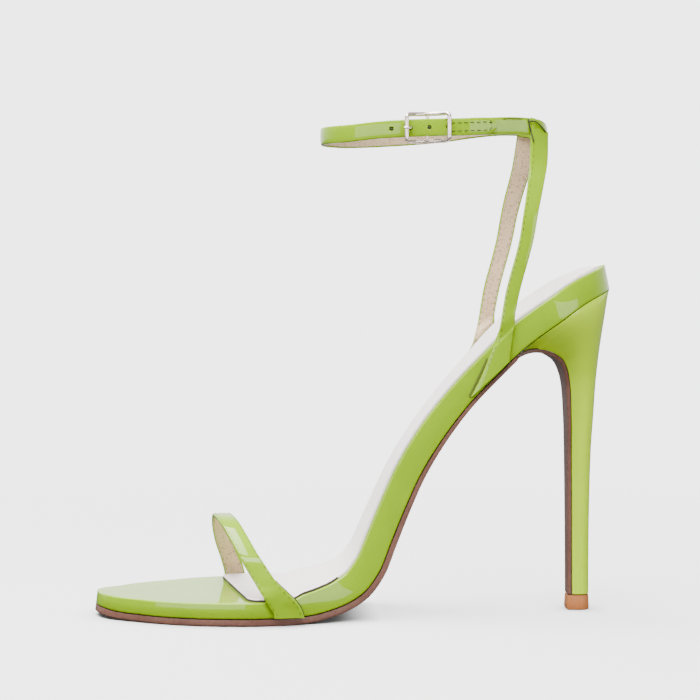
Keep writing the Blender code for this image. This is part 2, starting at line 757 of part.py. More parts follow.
def make_ankle_upper(path, buckle, material, group, cutters):
    """Ankle strap, its holes, and the two back straps joined to it."""
    strap = make_ankle_strap(path, buckle, material, group)
    for number in range(-1, HOLES_BEHIND + 1):
        at = buckle - PRONG_REACH + number * HOLE_PITCH
        boolean(strap, make_punch(number, path, at, cutters), "DIFFERENCE")
    for side in (-1, 1):
        boolean(strap, make_back_strap(side, cutters), "UNION")
        boolean(strap, make_fold(path, side, cutters), "UNION")
    return strap


def make_punch(number, path, distance, cutters):
    mesh = bmesh.new()
    bmesh.ops.create_cone(
        mesh, cap_ends=True, segments=12, radius1=HOLE_RADIUS, radius2=HOLE_RADIUS,
        depth=2 * ANKLE_WALL,
    )
    out = path.out(distance)
    turn = Vector((0, 0, 1)).rotation_difference(out).to_matrix().to_4x4()
    turn.translation = path.at(distance) + out * layer_step()
    bmesh.ops.transform(mesh, matrix=turn, verts=mesh.verts)
    return add_mesh(f"punch_{number + 1}", mesh, None, cutters)


class BuckleFrame:
    """Places on the buckle: along the strap, up, and out from the ankle strap's middle line."""

    def __init__(self, path, distance):
        self.middle = path.at(distance)
        self.along = path.along(distance)
        self.out = path.out(distance)
        self.rest = ANKLE_WALL / 2 + layer_step() + GAP + BUCKLE_BAR

    def place(self, along, up, out):
        return self.middle + self.along * along + Vector((0, 0, up)) + self.out * out


def make_buckle_frame(frame, material, group, cutters):
    half_length, half_height = BUCKLE_LENGTH / 2, BUCKLE_HEIGHT / 2
    points = []
    for quarter in range(4):
        sx, sy = ((1, 1), (-1, 1), (-1, -1), (1, -1))[quarter]
        for k in range(4):
            angle = math.pi / 2 * (quarter + k / 3)
            along = sx * (half_length - BUCKLE_CORNER) + BUCKLE_CORNER * math.cos(angle)
            up = sy * (half_height - BUCKLE_CORNER) + BUCKLE_CORNER * math.sin(angle)
            points.append((along, up))
    bars = []
    for (a, b), (c, d) in zip(points, points[1:] + points[:1]):
        pieces = 6 if abs(c - a) > 2 * BUCKLE_CORNER else 1
        for k in range(pieces):
            along, up = a + (c - a) * k / pieces, b + (d - b) * k / pieces
            bow = (along / half_length) ** 2
            bars.append(frame.place(along, up, bow * frame.rest))
    made = tube("buckle_frame", bars, BUCKLE_BAR, material, group, cyclic=True)
    ends = [frame.place(0, sign * half_height, 0) for sign in (-1, 1)]
    boolean(made, tube("centre_bar", ends, CENTRE_BAR, None, cutters), "UNION")
    return made


def make_prong(frame, material, group):
    top = frame.rest + BUCKLE_BAR + GAP + PRONG
    points = [
        frame.place(along * PRONG_REACH, 0, height * top)
        for along, height in smooth_rows(PRONG_LINE, 2)
    ]
    return tube("buckle_prong", points, PRONG, material, group)


def main():
    clear_scene()
    group = collection("sandal")
    cutters = collection("cutters")
    patent = finish("lime_patent", LIME, 0.12, coat=1.0)
    brown = finish("sole_brown", SOLE_BROWN, 0.5)
    metal = finish("rose_metal", ROSE_METAL, 0.22, metallic=1.0)
    make_outsole(brown, group)
    make_footbed(patent, group)
    make_sock(finish("sock_pale", SOCK_PALE, 0.55), group)
    make_heel(patent, group)
    make_top_piece(finish("tip_tan", TIP_TAN, 0.45), group)
    make_toe_strap(patent, group)
    path = Path(ankle_loop())
    buckle = path.nearest(x_of(BUCKLE_RUN), -1)
    make_ankle_upper(path, buckle, patent, group, cutters)
    frame = BuckleFrame(path, buckle)
    make_buckle_frame(frame, metal, group, cutters)
    make_prong(frame, metal, group)


main()
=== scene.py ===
import math

import bmesh
import bpy
import numpy as np
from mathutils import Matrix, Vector, noise


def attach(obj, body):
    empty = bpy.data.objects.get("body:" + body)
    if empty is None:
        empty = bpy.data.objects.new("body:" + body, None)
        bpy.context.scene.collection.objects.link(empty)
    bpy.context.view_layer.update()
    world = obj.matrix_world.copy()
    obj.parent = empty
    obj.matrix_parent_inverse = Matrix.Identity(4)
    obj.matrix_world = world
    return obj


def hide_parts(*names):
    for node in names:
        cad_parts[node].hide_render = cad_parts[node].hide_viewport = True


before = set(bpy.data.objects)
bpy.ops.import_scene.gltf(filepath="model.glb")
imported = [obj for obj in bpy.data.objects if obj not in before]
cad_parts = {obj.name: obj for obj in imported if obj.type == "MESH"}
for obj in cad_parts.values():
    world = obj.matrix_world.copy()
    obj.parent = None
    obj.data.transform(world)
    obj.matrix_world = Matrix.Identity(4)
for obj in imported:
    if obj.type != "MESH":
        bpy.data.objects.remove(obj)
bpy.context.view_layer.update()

# Named sizes of the part, in metres, as in its CAD source
lastSize = dict(
    length=0.1938, seatRise=0.1186, ball=0.070, seat=0.050, tread=0.288,
    toeRound=0.012, seatRound=0.022, outsole=0.0026, board=0.0090, gap=0.0003, waist=(0.35, 0.65),
    drop=0.0018, dropRuns=(0.42, 0.93), slopeStep=0.002,
)
strapSize = dict(
    wall=0.0016, ankleWall=0.0018, lining=0.0003, margin=0.00055, crown=0.00016,
    round=0.00048, roundMost=0.36, roundSteps=4, turned=(0.00014, 0.00018),
    across=(0.62, 0.3, 0.0, -0.3, -0.62), liningEdge=0.00005, liningAt=0.4,
)
ankleSize = dict(width=0.0064, rise=0.1810, across=0.0500, buckleRun=0.629, freeEnd=0.0250)
buckleSize = dict(
    length=0.0156, height=0.0100, corner=0.0013, flat=0.9, bar=0.00080, centre=0.0006,
    prong=0.00045, reach=0.0062, cornerSteps=6, barSteps=24, pinSteps=6,
)
holeSize = dict(pitch=0.00675, radius=0.0008, before=1, behind=2, sides=20)

# run, rise, lean in degrees, board, cup: side view of the line where footbed and outsole meet
profileRows = [
    (0.000, 0.015, -7, 0.50, 0.00), (0.056, 0.003, 0, 0.61, 0.00), (0.159, 0.000, 0, 0.63, 0.00),
    (0.370, 0.000, 5, 0.67, 0.00), (0.401, 0.0030, 9, 0.87, 0.04), (0.456, 0.0220, 25, 0.98, 0.08),
    (0.504, 0.0595, 41, 1.07, 0.08), (0.538, 0.1270, 54, 1.07, 0.08), (0.561, 0.2170, 67, 1.03, 0.08),
    (0.586, 0.3140, 69, 1.03, 0.08), (0.616, 0.4190, 65, 1.03, 0.08), (0.654, 0.5210, 58, 1.03, 0.08),
    (0.706, 0.6345, 51, 1.00, 0.10), (0.765, 0.7370, 44, 1.01, 0.13), (0.811, 0.8100, 39, 1.03, 0.17),
    (0.884, 0.898, 34, 1.06, 0.20), (0.938, 0.956, 26, 1.03, 0.16), (1.000, 1.000, 11, 1.02, 0.08),
]
# run, outer, inner half widths
outlineRows = [
    (0.000, 0.229, 0.157), (0.038, 0.236, 0.179), (0.071, 0.279, 0.269), (0.107, 0.343, 0.343),
    (0.159, 0.413, 0.423), (0.200, 0.450, 0.471), (0.247, 0.474, 0.503), (0.298, 0.486, 0.509),
    (0.350, 0.467, 0.477), (0.417, 0.436, 0.420), (0.494, 0.420, 0.358), (0.572, 0.424, 0.326),
    (0.649, 0.424, 0.318), (0.727, 0.438, 0.350), (0.804, 0.464, 0.408), (0.881, 0.478, 0.456),
    (0.938, 0.432, 0.424), (1.000, 0.380, 0.374),
]
# front run, front rise, back run, back rise, throat, belly, seat
heelRows = [
    (0.800, 0.7930, 1.000, 1.000, 0.420, 0.450, 1.00),
    (0.821, 0.8080, 0.9960, 0.968, 0.385, 0.440, 0.80),
    (0.843, 0.8130, 0.9930, 0.937, 0.345, 0.415, 0.55),
    (0.866, 0.8070, 0.9890, 0.890, 0.295, 0.362, 0.30),
    (0.888, 0.7915, 0.9830, 0.836, 0.236, 0.290, 0.10),
    (0.905, 0.7645, 0.9780, 0.781, 0.184, 0.228, 0.00),
    (0.9165, 0.7010, 0.9730, 0.701, 0.134, 0.166, 0.00),
    (0.9205, 0.5870, 0.9685, 0.591, 0.104, 0.132, 0.00),
    (0.9215, 0.4690, 0.9635, 0.469, 0.088, 0.112, 0.00),
    (0.9225, 0.2500, 0.9600, 0.250, 0.076, 0.094, 0.00),
    (0.9230, 0.0270, 0.9590, 0.027, 0.072, 0.086, 0.00),
]
# run, across, rise, width, upright
toeStrapRows = [
    (0.366, -1.00, 0.010, 1.62, 0.0), (0.361, -1.00, 0.100, 1.50, 0.3),
    (0.347, -1.00, 0.200, 1.25, 0.7), (0.328, -0.97, 0.330, 1.05, 1.0),
    (0.310, -0.91, 0.487, 0.98, 1.0), (0.292, -0.84, 0.646, 0.96, 1.0),
    (0.275, -0.69, 0.807, 0.96, 1.0), (0.257, -0.42, 0.956, 0.98, 1.0),
    (0.245, -0.09, 1.000, 1.00, 1.0), (0.2415, 0.25, 0.953, 1.00, 1.0),
    (0.2420, 0.52, 0.816, 1.00, 1.0), (0.2480, 0.73, 0.620, 1.00, 1.0),
    (0.2605, 0.91, 0.400, 1.05, 1.0), (0.2700, 1.00, 0.220, 1.15, 0.7),
    (0.2740, 1.00, 0.010, 1.25, 0.0),
]
toeSize = dict(width=0.0068, arch=0.0338, steps=12, outUp=0.02)
# front, front rise, rear, rear rise, front out, rear out
backStrapRows = [
    (0.7130, 0.452, 0.7855, 0.524, 0.440, 0.440), (0.7305, 0.489, 0.7885, 0.552, 0.440, 0.440),
    (0.7460, 0.529, 0.7915, 0.574, 0.440, 0.440), (0.7570, 0.556, 0.7935, 0.595, 0.440, 0.440),
    (0.7660, 0.587, 0.7955, 0.611, 0.494, 0.494), (0.7740, 0.638, 0.8005, 0.641, 0.497, 0.497),
    (0.7815, 0.679, 0.8090, 0.681, 0.500, 0.500), (0.8020, 0.760, 0.8300, 0.763, 0.502, 0.500),
    (0.8125, 0.822, 0.8415, 0.825, 0.488, 0.480), (0.8225, 0.884, 0.8550, 0.886, 0.440, 0.415),
    (0.8290, 0.932, 0.8650, 0.933, 0.388, 0.330), (0.8335, 1.008, 0.8690, 0.992, 0.330, 0.250),
]
# run, across, rise, rise on the inner side: middle line of the ankle strap, front to back
ankleRows = [
    (0.440, 0.000, 0.985, 0.9850), (0.450, 0.200, 0.986, 0.9845), (0.489, 0.360, 0.988, 0.9840),
    (0.546, 0.466, 0.994, 0.9870), (0.618, 0.500, 0.998, 0.9920), (0.690, 0.496, 1.000, 0.9990),
    (0.752, 0.452, 1.003, 1.0080), (0.804, 0.372, 1.005, 1.0120), (0.848, 0.276, 1.002, 1.0080),
    (0.866, 0.165, 0.993, 0.9970), (0.872, 0.000, 0.982, 0.9820),
]
# along, height: the prong's middle line
prongRows = [
    (0.21, -0.10), (0.13, -0.23), (0.00, -0.27), (-0.14, -0.23), (-0.30, -0.12), (-0.60, -0.08),
    (-0.86, -0.04), (-0.98, 0.10), (-1.00, 0.30), (-1.00, 0.66), (-1.05, 0.86), (-1.14, 0.97),
    (-1.26, 1.00), (-1.38, 0.96),
]


def curveOf(rows, column):
    x = np.array([row[0] for row in rows])
    y = np.array([row[column] for row in rows], float)
    step = np.diff(x)
    slope = np.diff(y) / step
    tangent = np.zeros(len(x))
    tangent[0], tangent[-1] = slope[0], slope[-1]
    for i in range(1, len(x) - 1):
        before, after = slope[i - 1], slope[i]
        if before * after > 0:
            near, far = 2 * step[i] + step[i - 1], step[i] + 2 * step[i - 1]
            tangent[i] = (near + far) / (near / before + far / after)

    def value(at):
        i = int(np.clip(np.searchsorted(x, at) - 1, 0, len(step) - 1))
        t = (at - x[i]) / step[i]
        return float(
            y[i] * (1 + 2 * t) * (1 - t) ** 2
            + tangent[i] * step[i] * t * (1 - t) ** 2
            + y[i + 1] * t * t * (3 - 2 * t)
            + tangent[i + 1] * step[i] * t * t * (t - 1)
        )

    return value


def smoothRows(rows, steps, closed=False):
    table = np.array(rows, float)
    count = len(table)
    made = []
    for i in range(count if closed else count - 1):
        if closed:
            a, b, c, d = (table[(i + k) % count] for k in (-1, 0, 1, 2))
        else:
            b, c = table[i], table[i + 1]
            a = table[i - 1] if i else 2 * b - c
            d = table[i + 2] if i + 2 < count else 2 * c - b
        for k in range(steps):
            t = k / steps
            made.append(
                0.5 * (2 * b + (c - a) * t + (2 * a - 5 * b + 4 * c - d) * t**2)
                + 0.5 * (3 * b - a - 3 * c + d) * t**3
            )
    if not closed:
        made.append(table[-1])
    return made


jointRise, edgeLean, boardShare, cupShare = (curveOf(profileRows, i) for i in (1, 2, 3, 4))
outerShare, innerShare = curveOf(outlineRows, 1), curveOf(outlineRows, 2)


def xOf(run):
    return (run - lastSize["tread"]) * lastSize["length"]


def runOf(x):
    return x / lastSize["length"] + lastSize["tread"]


def zOf(rise):
    return lastSize["outsole"] + rise * lastSize["seatRise"]


def jointZ(run):
    return zOf(jointRise(run))


def jointSlope(run):
    step = lastSize["slopeStep"]
    return (jointZ(run + step) - jointZ(run - step)) / (2 * step * lastSize["length"])


def clamp(value, low=0.0, high=1.0):
    return min(max(value, low), high)


def ease(value):
    value = clamp(value)
    return value * value * (3 - 2 * value)


def arc(steps, whole=math.pi / 2):  # cosine and sine along a turn
    angles = [whole * k / steps for k in range(steps + 1)]
    return [(math.cos(angle), math.sin(angle)) for angle in angles]


def neighbours(rows, i):  # the rows ahead and behind, or the end row itself
    return rows[min(i + 1, len(rows) - 1)], rows[max(i - 1, 0)]


def roundEnd(distance, length):
    left = clamp(1 - distance / length)
    return math.sqrt(1 - left * left)


def halfWidth(run, side):
    run = clamp(run)
    start, end = lastSize["waist"]
    toSeat = ease((run - start) / (end - start))
    width = lastSize["ball"] + toSeat * (lastSize["seat"] - lastSize["ball"])
    share = outerShare(run) if side < 0 else innerShare(run)
    toe = roundEnd(run * lastSize["length"], lastSize["toeRound"])
    heel = roundEnd((1 - run) * lastSize["length"], lastSize["seatRound"])
    return width * share * toe * heel


def innerDrop(run):  # the inner rim lies lower in the shank
    low, high = lastSize["dropRuns"]
    return lastSize["drop"] * math.sin(math.pi * clamp((run - low) / (high - low))) ** 2


def bedPoint(run, y, up):  # across, and up from the joint line along the edge's lean
    lean = math.radians(edgeLean(run))
    inward = clamp(y / max(halfWidth(run, 1), lastSize["gap"]))
    up -= innerDrop(run) * inward * clamp(up / lastSize["board"] / boardShare(run))
    return Vector((xOf(run) - up * math.sin(lean), y, jointZ(run) + up * math.cos(lean)))


def rimZ(run):
    return jointZ(run) + lastSize["board"] * boardShare(run) * math.hypot(1, jointSlope(run))


runSize = dict(fine=800, ends=12, least=0.02, power=2.2, reach=0.05)


def denseRuns(first, last, count):  # even along the side view, closer at rounded ends
    fine = np.linspace(first, last, runSize["fine"])
    points = np.array([(xOf(run), jointZ(run)) for run in fine])
    length = np.concatenate([[0], np.cumsum(np.hypot(*np.diff(points, axis=0).T))])
    runs = list(np.interp(np.linspace(0, length[-1], count), length, fine))[1:-1]
    near = np.linspace(runSize["least"], 1, runSize["ends"]) ** runSize["power"] * runSize["reach"]
    for share in near:
        runs += [float(share)] if first == 0 else []
        runs += [float(1 - share)] if last == 1 else []
    return sorted(runs)


sharpAngle = math.radians(38)
tiny = 1e-6
upward = Vector((0, 0, 1))


def addObject(name, data):
    obj = bpy.data.objects.new(name, data)
    bpy.context.scene.collection.objects.link(obj)
    return obj


def meshData(name, mesh):
    data = bpy.data.meshes.new(name)
    mesh.to_mesh(data)
    mesh.free()
    return data


def addMesh(name, mesh, materials):
    bmesh.ops.recalc_face_normals(mesh, faces=mesh.faces)
    if mesh.calc_volume(signed=True) < 0:
        bmesh.ops.reverse_faces(mesh, faces=mesh.faces)
    data = meshData(name, mesh)
    data.shade_smooth()
    data.set_sharp_from_angle(angle=sharpAngle)
    for material in materials:
        data.materials.append(material)
    return addObject(name, data)


# columns in second take the second material
def loft(name, rings, materials, second=(), cyclic=False):
    mesh = bmesh.new()
    made = [[mesh.verts.new(point) for point in ring] for ring in rings]
    count = len(made[0])
    for before, after in zip(made, made[1:] + made[:1] if cyclic else made[1:]):
        for i in range(count):
            j = (i + 1) % count
            face = mesh.faces.new((before[i], before[j], after[j], after[i]))
            face.material_index = 1 if i in second else 0
    for ring in () if cyclic else (made[0], made[-1]):
        mesh.faces.new(ring)
    return addMesh(name, mesh, materials)


sideNames = {-1: "outer", 1: "inner"}


def settle(obj, slotName, *nodes):  # nodes are the CAD solids that the piece stands for
    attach(obj, "root")
    if nodes:
        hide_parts(*nodes)


def feed(tree, target, value):  # a socket takes a wire or a plain value
    if isinstance(value, Wire):
        tree.links.new(value.socket, target)
    else:
        target.default_value = value


class Wire:  # a shader socket with arithmetic
    def __init__(self, tree, socket):
        self.tree, self.socket = tree, socket

    def math(self, operation, other, flip=False):
        node = self.tree.nodes.new("ShaderNodeMath")
        node.operation = operation
        for target, value in zip(node.inputs, (other, self) if flip else (self, other)):
            feed(self.tree, target, value)
        return Wire(self.tree, node.outputs[0])

    def __add__(self, other):
        return self.math("ADD", other)

    def __mul__(self, other):
        return self.math("MULTIPLY", other)

    def __rsub__(self, other):
        return self.math("SUBTRACT", other, flip=True)

    __radd__ = __add__
    __rmul__ = __mul__

    def ramp(self, low, high):
        node = self.tree.nodes.new("ShaderNodeMapRange")
        node.interpolation_type = "SMOOTHSTEP"
        self.tree.links.new(self.socket, node.inputs["Value"])
        node.inputs["From Min"].default_value = low
        node.inputs["From Max"].default_value = high
        return Wire(self.tree, node.outputs["Result"])


class Finish:  # a material with one Principled shader
    def __init__(self, name, colour, roughness, **values):
        self.material = bpy.data.materials.new(name)
        self.material.use_nodes = True
        self.tree = self.material.node_tree
        self.shader = self.tree.nodes["Principled BSDF"]
        self.put("Base Color", (*colour, 1.0))
        self.put("Roughness", roughness)
        for key, value in values.items():
            self.put(key.replace("_", " "), value)

    def put(self, socket, value):
        feed(self.tree, self.shader.inputs[socket], value)

    # a node by its type, the output wanted, its settings in lower case and its sockets
    def node(self, kind, output=0, **values):
        node = self.tree.nodes.new(kind)
        for key in [key for key in values if key.islower()]:
            setattr(node, key, values.pop(key))
        sockets = {socket.identifier: socket for socket in node.inputs}
        for key, value in values.items():
            feed(self.tree, sockets[key], value)
        return Wire(self.tree, node.outputs[output])

    def place(self):
        return self.node("ShaderNodeTexCoord", "Object")

    def noise(self, scale, detail=3.0, roughness=0.5):
        return self.node(
            "ShaderNodeTexNoise", "Fac",
            Vector=self.place(), Scale=scale, Detail=detail, Roughness=roughness,
        )

    def mix(self, share, first, second):
        node = self.tree.nodes.new("ShaderNodeMix")
        node.data_type = "RGBA"
        feed(self.tree, node.inputs[0], share)
        feed(self.tree, node.inputs[6], (*first, 1.0))
        feed(self.tree, node.inputs[7], (*second, 1.0))
        return Wire(self.tree, node.outputs[2])

    def bump(self, height, distance, strength=1.0):
        made = self.node("ShaderNodeBump", Height=height, Distance=distance, Strength=strength)
        self.put("Normal", made)


colours = dict(
    lime=(0.238, 0.415, 0.0), limeDeep=(0.216, 0.380, 0.0),
    # the heel's two colours are the lime patent made lighter: painted light for the brighter heel
    heel=(0.50, 0.76, 0.01), heelDeepPaintedLight=(0.47, 0.72, 0.01),
    # thread is the stitching; the two colours after it are painted shade for the gaps between straps,
    # the wedge beside the leg's flap and the insides of the holes
    thread=(0.05, 0.075, 0.002), paintedShade=(0.030, 0.042, 0.002), fold=(0.090, 0.125, 0.002),
    lining=(0.55, 0.40, 0.24), liningDark=(0.26, 0.17, 0.10),
    # the sock's edge colour is near black: painted shade where the sock meets the footbed
    sock=(0.86, 0.77, 0.76), sockEdgePaintedShade=(0.05, 0.035, 0.03),
    brown=(0.170, 0.078, 0.056), brownDark=(0.05, 0.016, 0.010),
    tan=(0.44, 0.145, 0.035), metal=(0.82, 0.68, 0.62), floor=(0.45, 0.45, 0.45),
)


def makePatent(name="lime_patent_gloss", light=colours["lime"], deep=colours["limeDeep"]):
    made = Finish(
        name, light, roughness=0.3, IOR=1.3, Specular_IOR_Level=0.1,
        Coat_Weight=0.8, Coat_Roughness=0.03, Coat_IOR=1.42,
    )
    cloud = made.noise(scale=60.0, detail=2.0)
    made.put("Base Color", made.mix(cloud.ramp(0.35, 0.7), light, deep))
    made.bump(made.noise(scale=900.0, detail=2.0), distance=0.00003, strength=0.35)
    return made.material


def makeLining():
    made = Finish("beige_lining", colours["lining"], roughness=0.72)
    specks = made.noise(scale=1300.0, detail=2.0, roughness=0.6).ramp(0.52, 0.66)
    made.put("Base Color", made.mix(specks * 0.75, colours["lining"], colours["liningDark"]))
    made.bump(made.noise(scale=2600.0), distance=0.00008, strength=0.6)
    return made.material


def makeSockLeather():
    made = Finish("pale_sock_leather", colours["sock"], roughness=0.46)
    grain = made.noise(scale=1700.0, detail=4.0, roughness=0.6)
    made.bump(grain, distance=0.00006, strength=0.5)
    return made.material


def makeSole():
    made = Finish("brown_sole_leather", colours["brown"], roughness=0.42, Specular_IOR_Level=0.3)
    grain = made.noise(scale=700.0, detail=4.0, roughness=0.6)
    wide = made.noise(scale=55.0, detail=2.0)
    dark = grain.ramp(0.3, 0.8) * 0.35 + wide.ramp(0.4, 0.7) * 0.2
    made.put("Base Color", made.mix(dark, colours["brown"], colours["brownDark"]))
    made.put("Roughness", grain.ramp(0.2, 0.8) * 0.15 + 0.34)
    made.bump(grain, distance=0.00005, strength=0.5)
    return made.material


def makeTip():
    made = Finish("tan_tip", colours["tan"], roughness=0.5)
    made.bump(made.noise(scale=2200.0), distance=0.00005, strength=0.5)
    return made.material


def makeMetal():
    made = Finish("rose_metal_polish", colours["metal"], roughness=0.2, Metallic=0.85)
    made.put("Roughness", made.noise(scale=900.0).ramp(0.3, 0.75) * 0.1 + 0.2)
    return made.material


patent, lining, sockLeather = makePatent(), makeLining(), makeSockLeather()
soleLeather, tipRubber, metal = makeSole(), makeTip(), makeMetal()
threadMaterial = Finish("lime_thread", colours["thread"], roughness=0.6).material
# painted shade: the sock's cut edge darkened where it meets the footbed
sockEdgePaintedShade = Finish("sock_edge_painted_shade", colours["sockEdgePaintedShade"], roughness=0.8).material
# painted shade: near-black lines where straps meet, and discs inside the holes
creaseShade = Finish("lime_painted_shade", colours["paintedShade"], roughness=0.7).material
# painted shade: the flat dark wedge beside the leg's flap
foldShade = Finish("lime_fold_shade", colours["fold"], roughness=0.5).material
# the heel has the same lime patent as the rest, painted lighter: painted light
heelPatentPaintedLight = makePatent("heel_patent_painted_light", colours["heel"], colours["heelDeepPaintedLight"])
print("materials done")


# Footbed: board wrapped in patent, with a rounded rim and a slightly full side
bedSize = dict(
    rings=150, low=0.0006, rim=0.0007, roundMost=0.4, belly=0.00022, bellyFull=0.01,
    ripple=0.00004, rippleSize=0.012, lowSteps=4, sideSteps=7, rimSteps=6,
    under=(0.5, 0.8), across=(0.92, 0.8, 0.65, 0.5, 0.33, 0.17),
)


def ripple(*point):  # patent pulled over a board is never quite even
    return bedSize["ripple"] * noise.noise(Vector(point) / bedSize["rippleSize"])


def bedHalf(run, side):
    half, cup = halfWidth(run, side), cupShare(run) * lastSize["board"]
    high = boardShare(run) * lastSize["board"]
    most = half * bedSize["roundMost"]
    low, rim = min(bedSize["low"], most), min(bedSize["rim"], most)
    section = [(half * share, 0.0) for share in bedSize["under"]]
    for a, b in arc(bedSize["lowSteps"]):
        section.append((half - low + low * b, low - low * a))
    for k in range(1, bedSize["sideSteps"]):
        t = k / bedSize["sideSteps"]
        bulge = bedSize["belly"] * math.sin(math.pi * t) * clamp(half / bedSize["bellyFull"])
        section.append((half + bulge, low + (high - low - rim) * t))
    for a, b in arc(bedSize["rimSteps"]):
        section.append((half - rim + rim * a, high - rim + rim * b))
    for share in bedSize["across"]:
        section.append(((half - rim) * share, high - cup * (1 - share)))
    return [bedPoint(run, side * y, up + ripple(xOf(run), side * y, up)) for y, up in section]


def makeFootbed():
    rings = []
    for run in denseRuns(0, 1, bedSize["rings"]):
        high = boardShare(run) * lastSize["board"] - cupShare(run) * lastSize["board"]
        outer, inner = bedHalf(run, -1), bedHalf(run, 1)
        rings.append(outer + [bedPoint(run, 0, high)] + inner[::-1] + [bedPoint(run, 0, 0)])
    settle(loft("footbed_wrap", rings, [patent]), "lime_patent", "footbed")


makeFootbed()
print("footbed done")


# Sock: a thin pale sheet with a rounded front edge
sockSize = dict(
    thick=0.0008, inset=0.0015, ends=(0.267, 0.985), round=0.0045, flat=0.80, slant=0.0050,
    over=0.025, rings=150, space=0.006, below=0.3, edge=0.00025, darkTo=0.46, steep=0.5,
    front=(
        0, 0.00006, 0.0002, 0.0004, 0.0007, 0.0011, 0.0016, 0.0022, 0.003, 0.0038, 0.0045,
        0.006, 0.008, 0.0105, 0.013, 0.016, 0.019,
    ),
    across=(-1, -0.985, -0.95, -0.85, -0.7, -0.5, -0.25, 0, 0.25, 0.5, 0.7, 0.85, 0.95, 0.985, 1),
)


def makeSock():
    front, back = sockSize["ends"]
    start = [front + length / lastSize["length"] for length in sockSize["front"]]
    even = denseRuns(0, 1, sockSize["rings"])
    runs = start + [run for run in even if start[-1] + sockSize["space"] < run < back]
    shares, rings = sockSize["across"], []
    for run in runs:
        length = (run - front) * lastSize["length"]
        ahead = max(1 - length / sockSize["over"], 0)
        reach = sockSize["flat"] + (1 - sockSize["flat"]) * roundEnd(length, sockSize["round"])
        low, high = [], []
        for share in shares:
            inset = 1 - sockSize["inset"] / max(halfWidth(run, -1), sockSize["inset"])
            across = share * reach * inset
            at = run - ahead * sockSize["slant"] / lastSize["length"] * across
            bed = lastSize["board"] * (boardShare(at) - cupShare(at) * (1 - abs(share)))
            y = across * halfWidth(at, share)
            edge = sockSize["edge"] if abs(share) == 1 else 0
            low.append(bedPoint(at, y, bed + lastSize["gap"] * sockSize["below"]))
            high.append(bedPoint(at, y, bed + lastSize["gap"] + sockSize["thick"] - edge))
        rings.append(low + high[::-1])
    sides = {len(shares) - 1, 2 * len(shares) - 1}
    made = loft("sock_sheet", rings, [sockLeather, sockEdgePaintedShade], sides)
    # the cut edge is painted dark, as shade, at the front and beside the ball only
    for face in made.data.polygons:
        if face.center.x > xOf(sockSize["darkTo"]):
            face.material_index = 0
        elif face.center.x < rings[1][0].x and abs(face.normal.x) > sockSize["steep"]:
            face.material_index = 1
    settle(made, "sock_pale", "sock")


makeSock()
print("sock done")


# Outsole: under the forefoot and the shank, then down the front of the heel
soleSize = dict(
    rings=150, cover=0.0014, heelSteps=8, fade=24, shank=0.0016, thins=(0.46, 0.74),
    bevel=0.10, inMost=0.5,  # the section: how many bevels in, and the share of the thickness down
    section=((0.15, 0.0), (0, 0.12), (0, 0.5), (0, 0.78), (0.3, 0.93), (1.0, 1.0), (4.0, 1.0)),
)


def soleThickness(run):
    low, high = soleSize["thins"]
    thinner = ease((run - low) / (high - low)) * (lastSize["outsole"] - soleSize["shank"])
    return lastSize["outsole"] - lastSize["gap"] - thinner


def soleLine():
    line = []
    for run in [run for run in denseRuns(0, 1, soleSize["rings"]) if run < heelRows[0][0]]:
        gap = lastSize["gap"] * math.hypot(1, jointSlope(run))
        line.append((xOf(run), jointZ(run) - gap, run, None, soleThickness(run)))
    full = soleThickness(1)
    for i, row in enumerate(smoothRows(heelRows, soleSize["heelSteps"])[1:]):
        fade = min((i + 1) / soleSize["fade"], 1)
        thickness = full + fade * (soleSize["cover"] - full)
        line.append((xOf(row[0]), zOf(row[1]), None, row[4] * lastSize["seat"], thickness))
    return line


def makeOutsole():
    line = soleLine()
    places = np.array([(x, z) for x, z, *_ in line])
    rings = []
    for i, (x, z, run, half, thickness) in enumerate(line):
        ahead, behind = neighbours(places, i)
        along = (ahead - behind) / np.hypot(*(ahead - behind))
        down = np.array([along[1], -along[0]])
        if run is not None and jointRise(run) < tiny:  # the tread is level
            down = np.array([0.0, -1.0])
        outer = halfWidth(run, -1) if half is None else half
        inner = halfWidth(run, 1) if half is None else half
        bevel = soleSize["bevel"] * thickness
        ring = []
        for side, width in ((-1, outer), (1, inner)):
            part = []
            for back, depth in soleSize["section"]:
                place = np.array([x, z]) + down * thickness * depth
                inward = min(back * bevel, width * soleSize["inMost"])
                part.append(Vector((place[0], side * (width - inward), place[1])))
            ring += part if side < 0 else part[::-1]
        rings.append(ring)
    settle(loft("outsole_leather", rings, [soleLeather]), "sole_brown", "outsole")


makeOutsole()
print("outsole done")


# Heel: wrapped in patent, and its tip
heelSize = dict(
    points=22, rows=9, lip=0.0019, seatGap=0.00025, inset=0.0006,
    belly=0.45, follow=0.3, breastBelow=0.5,
)


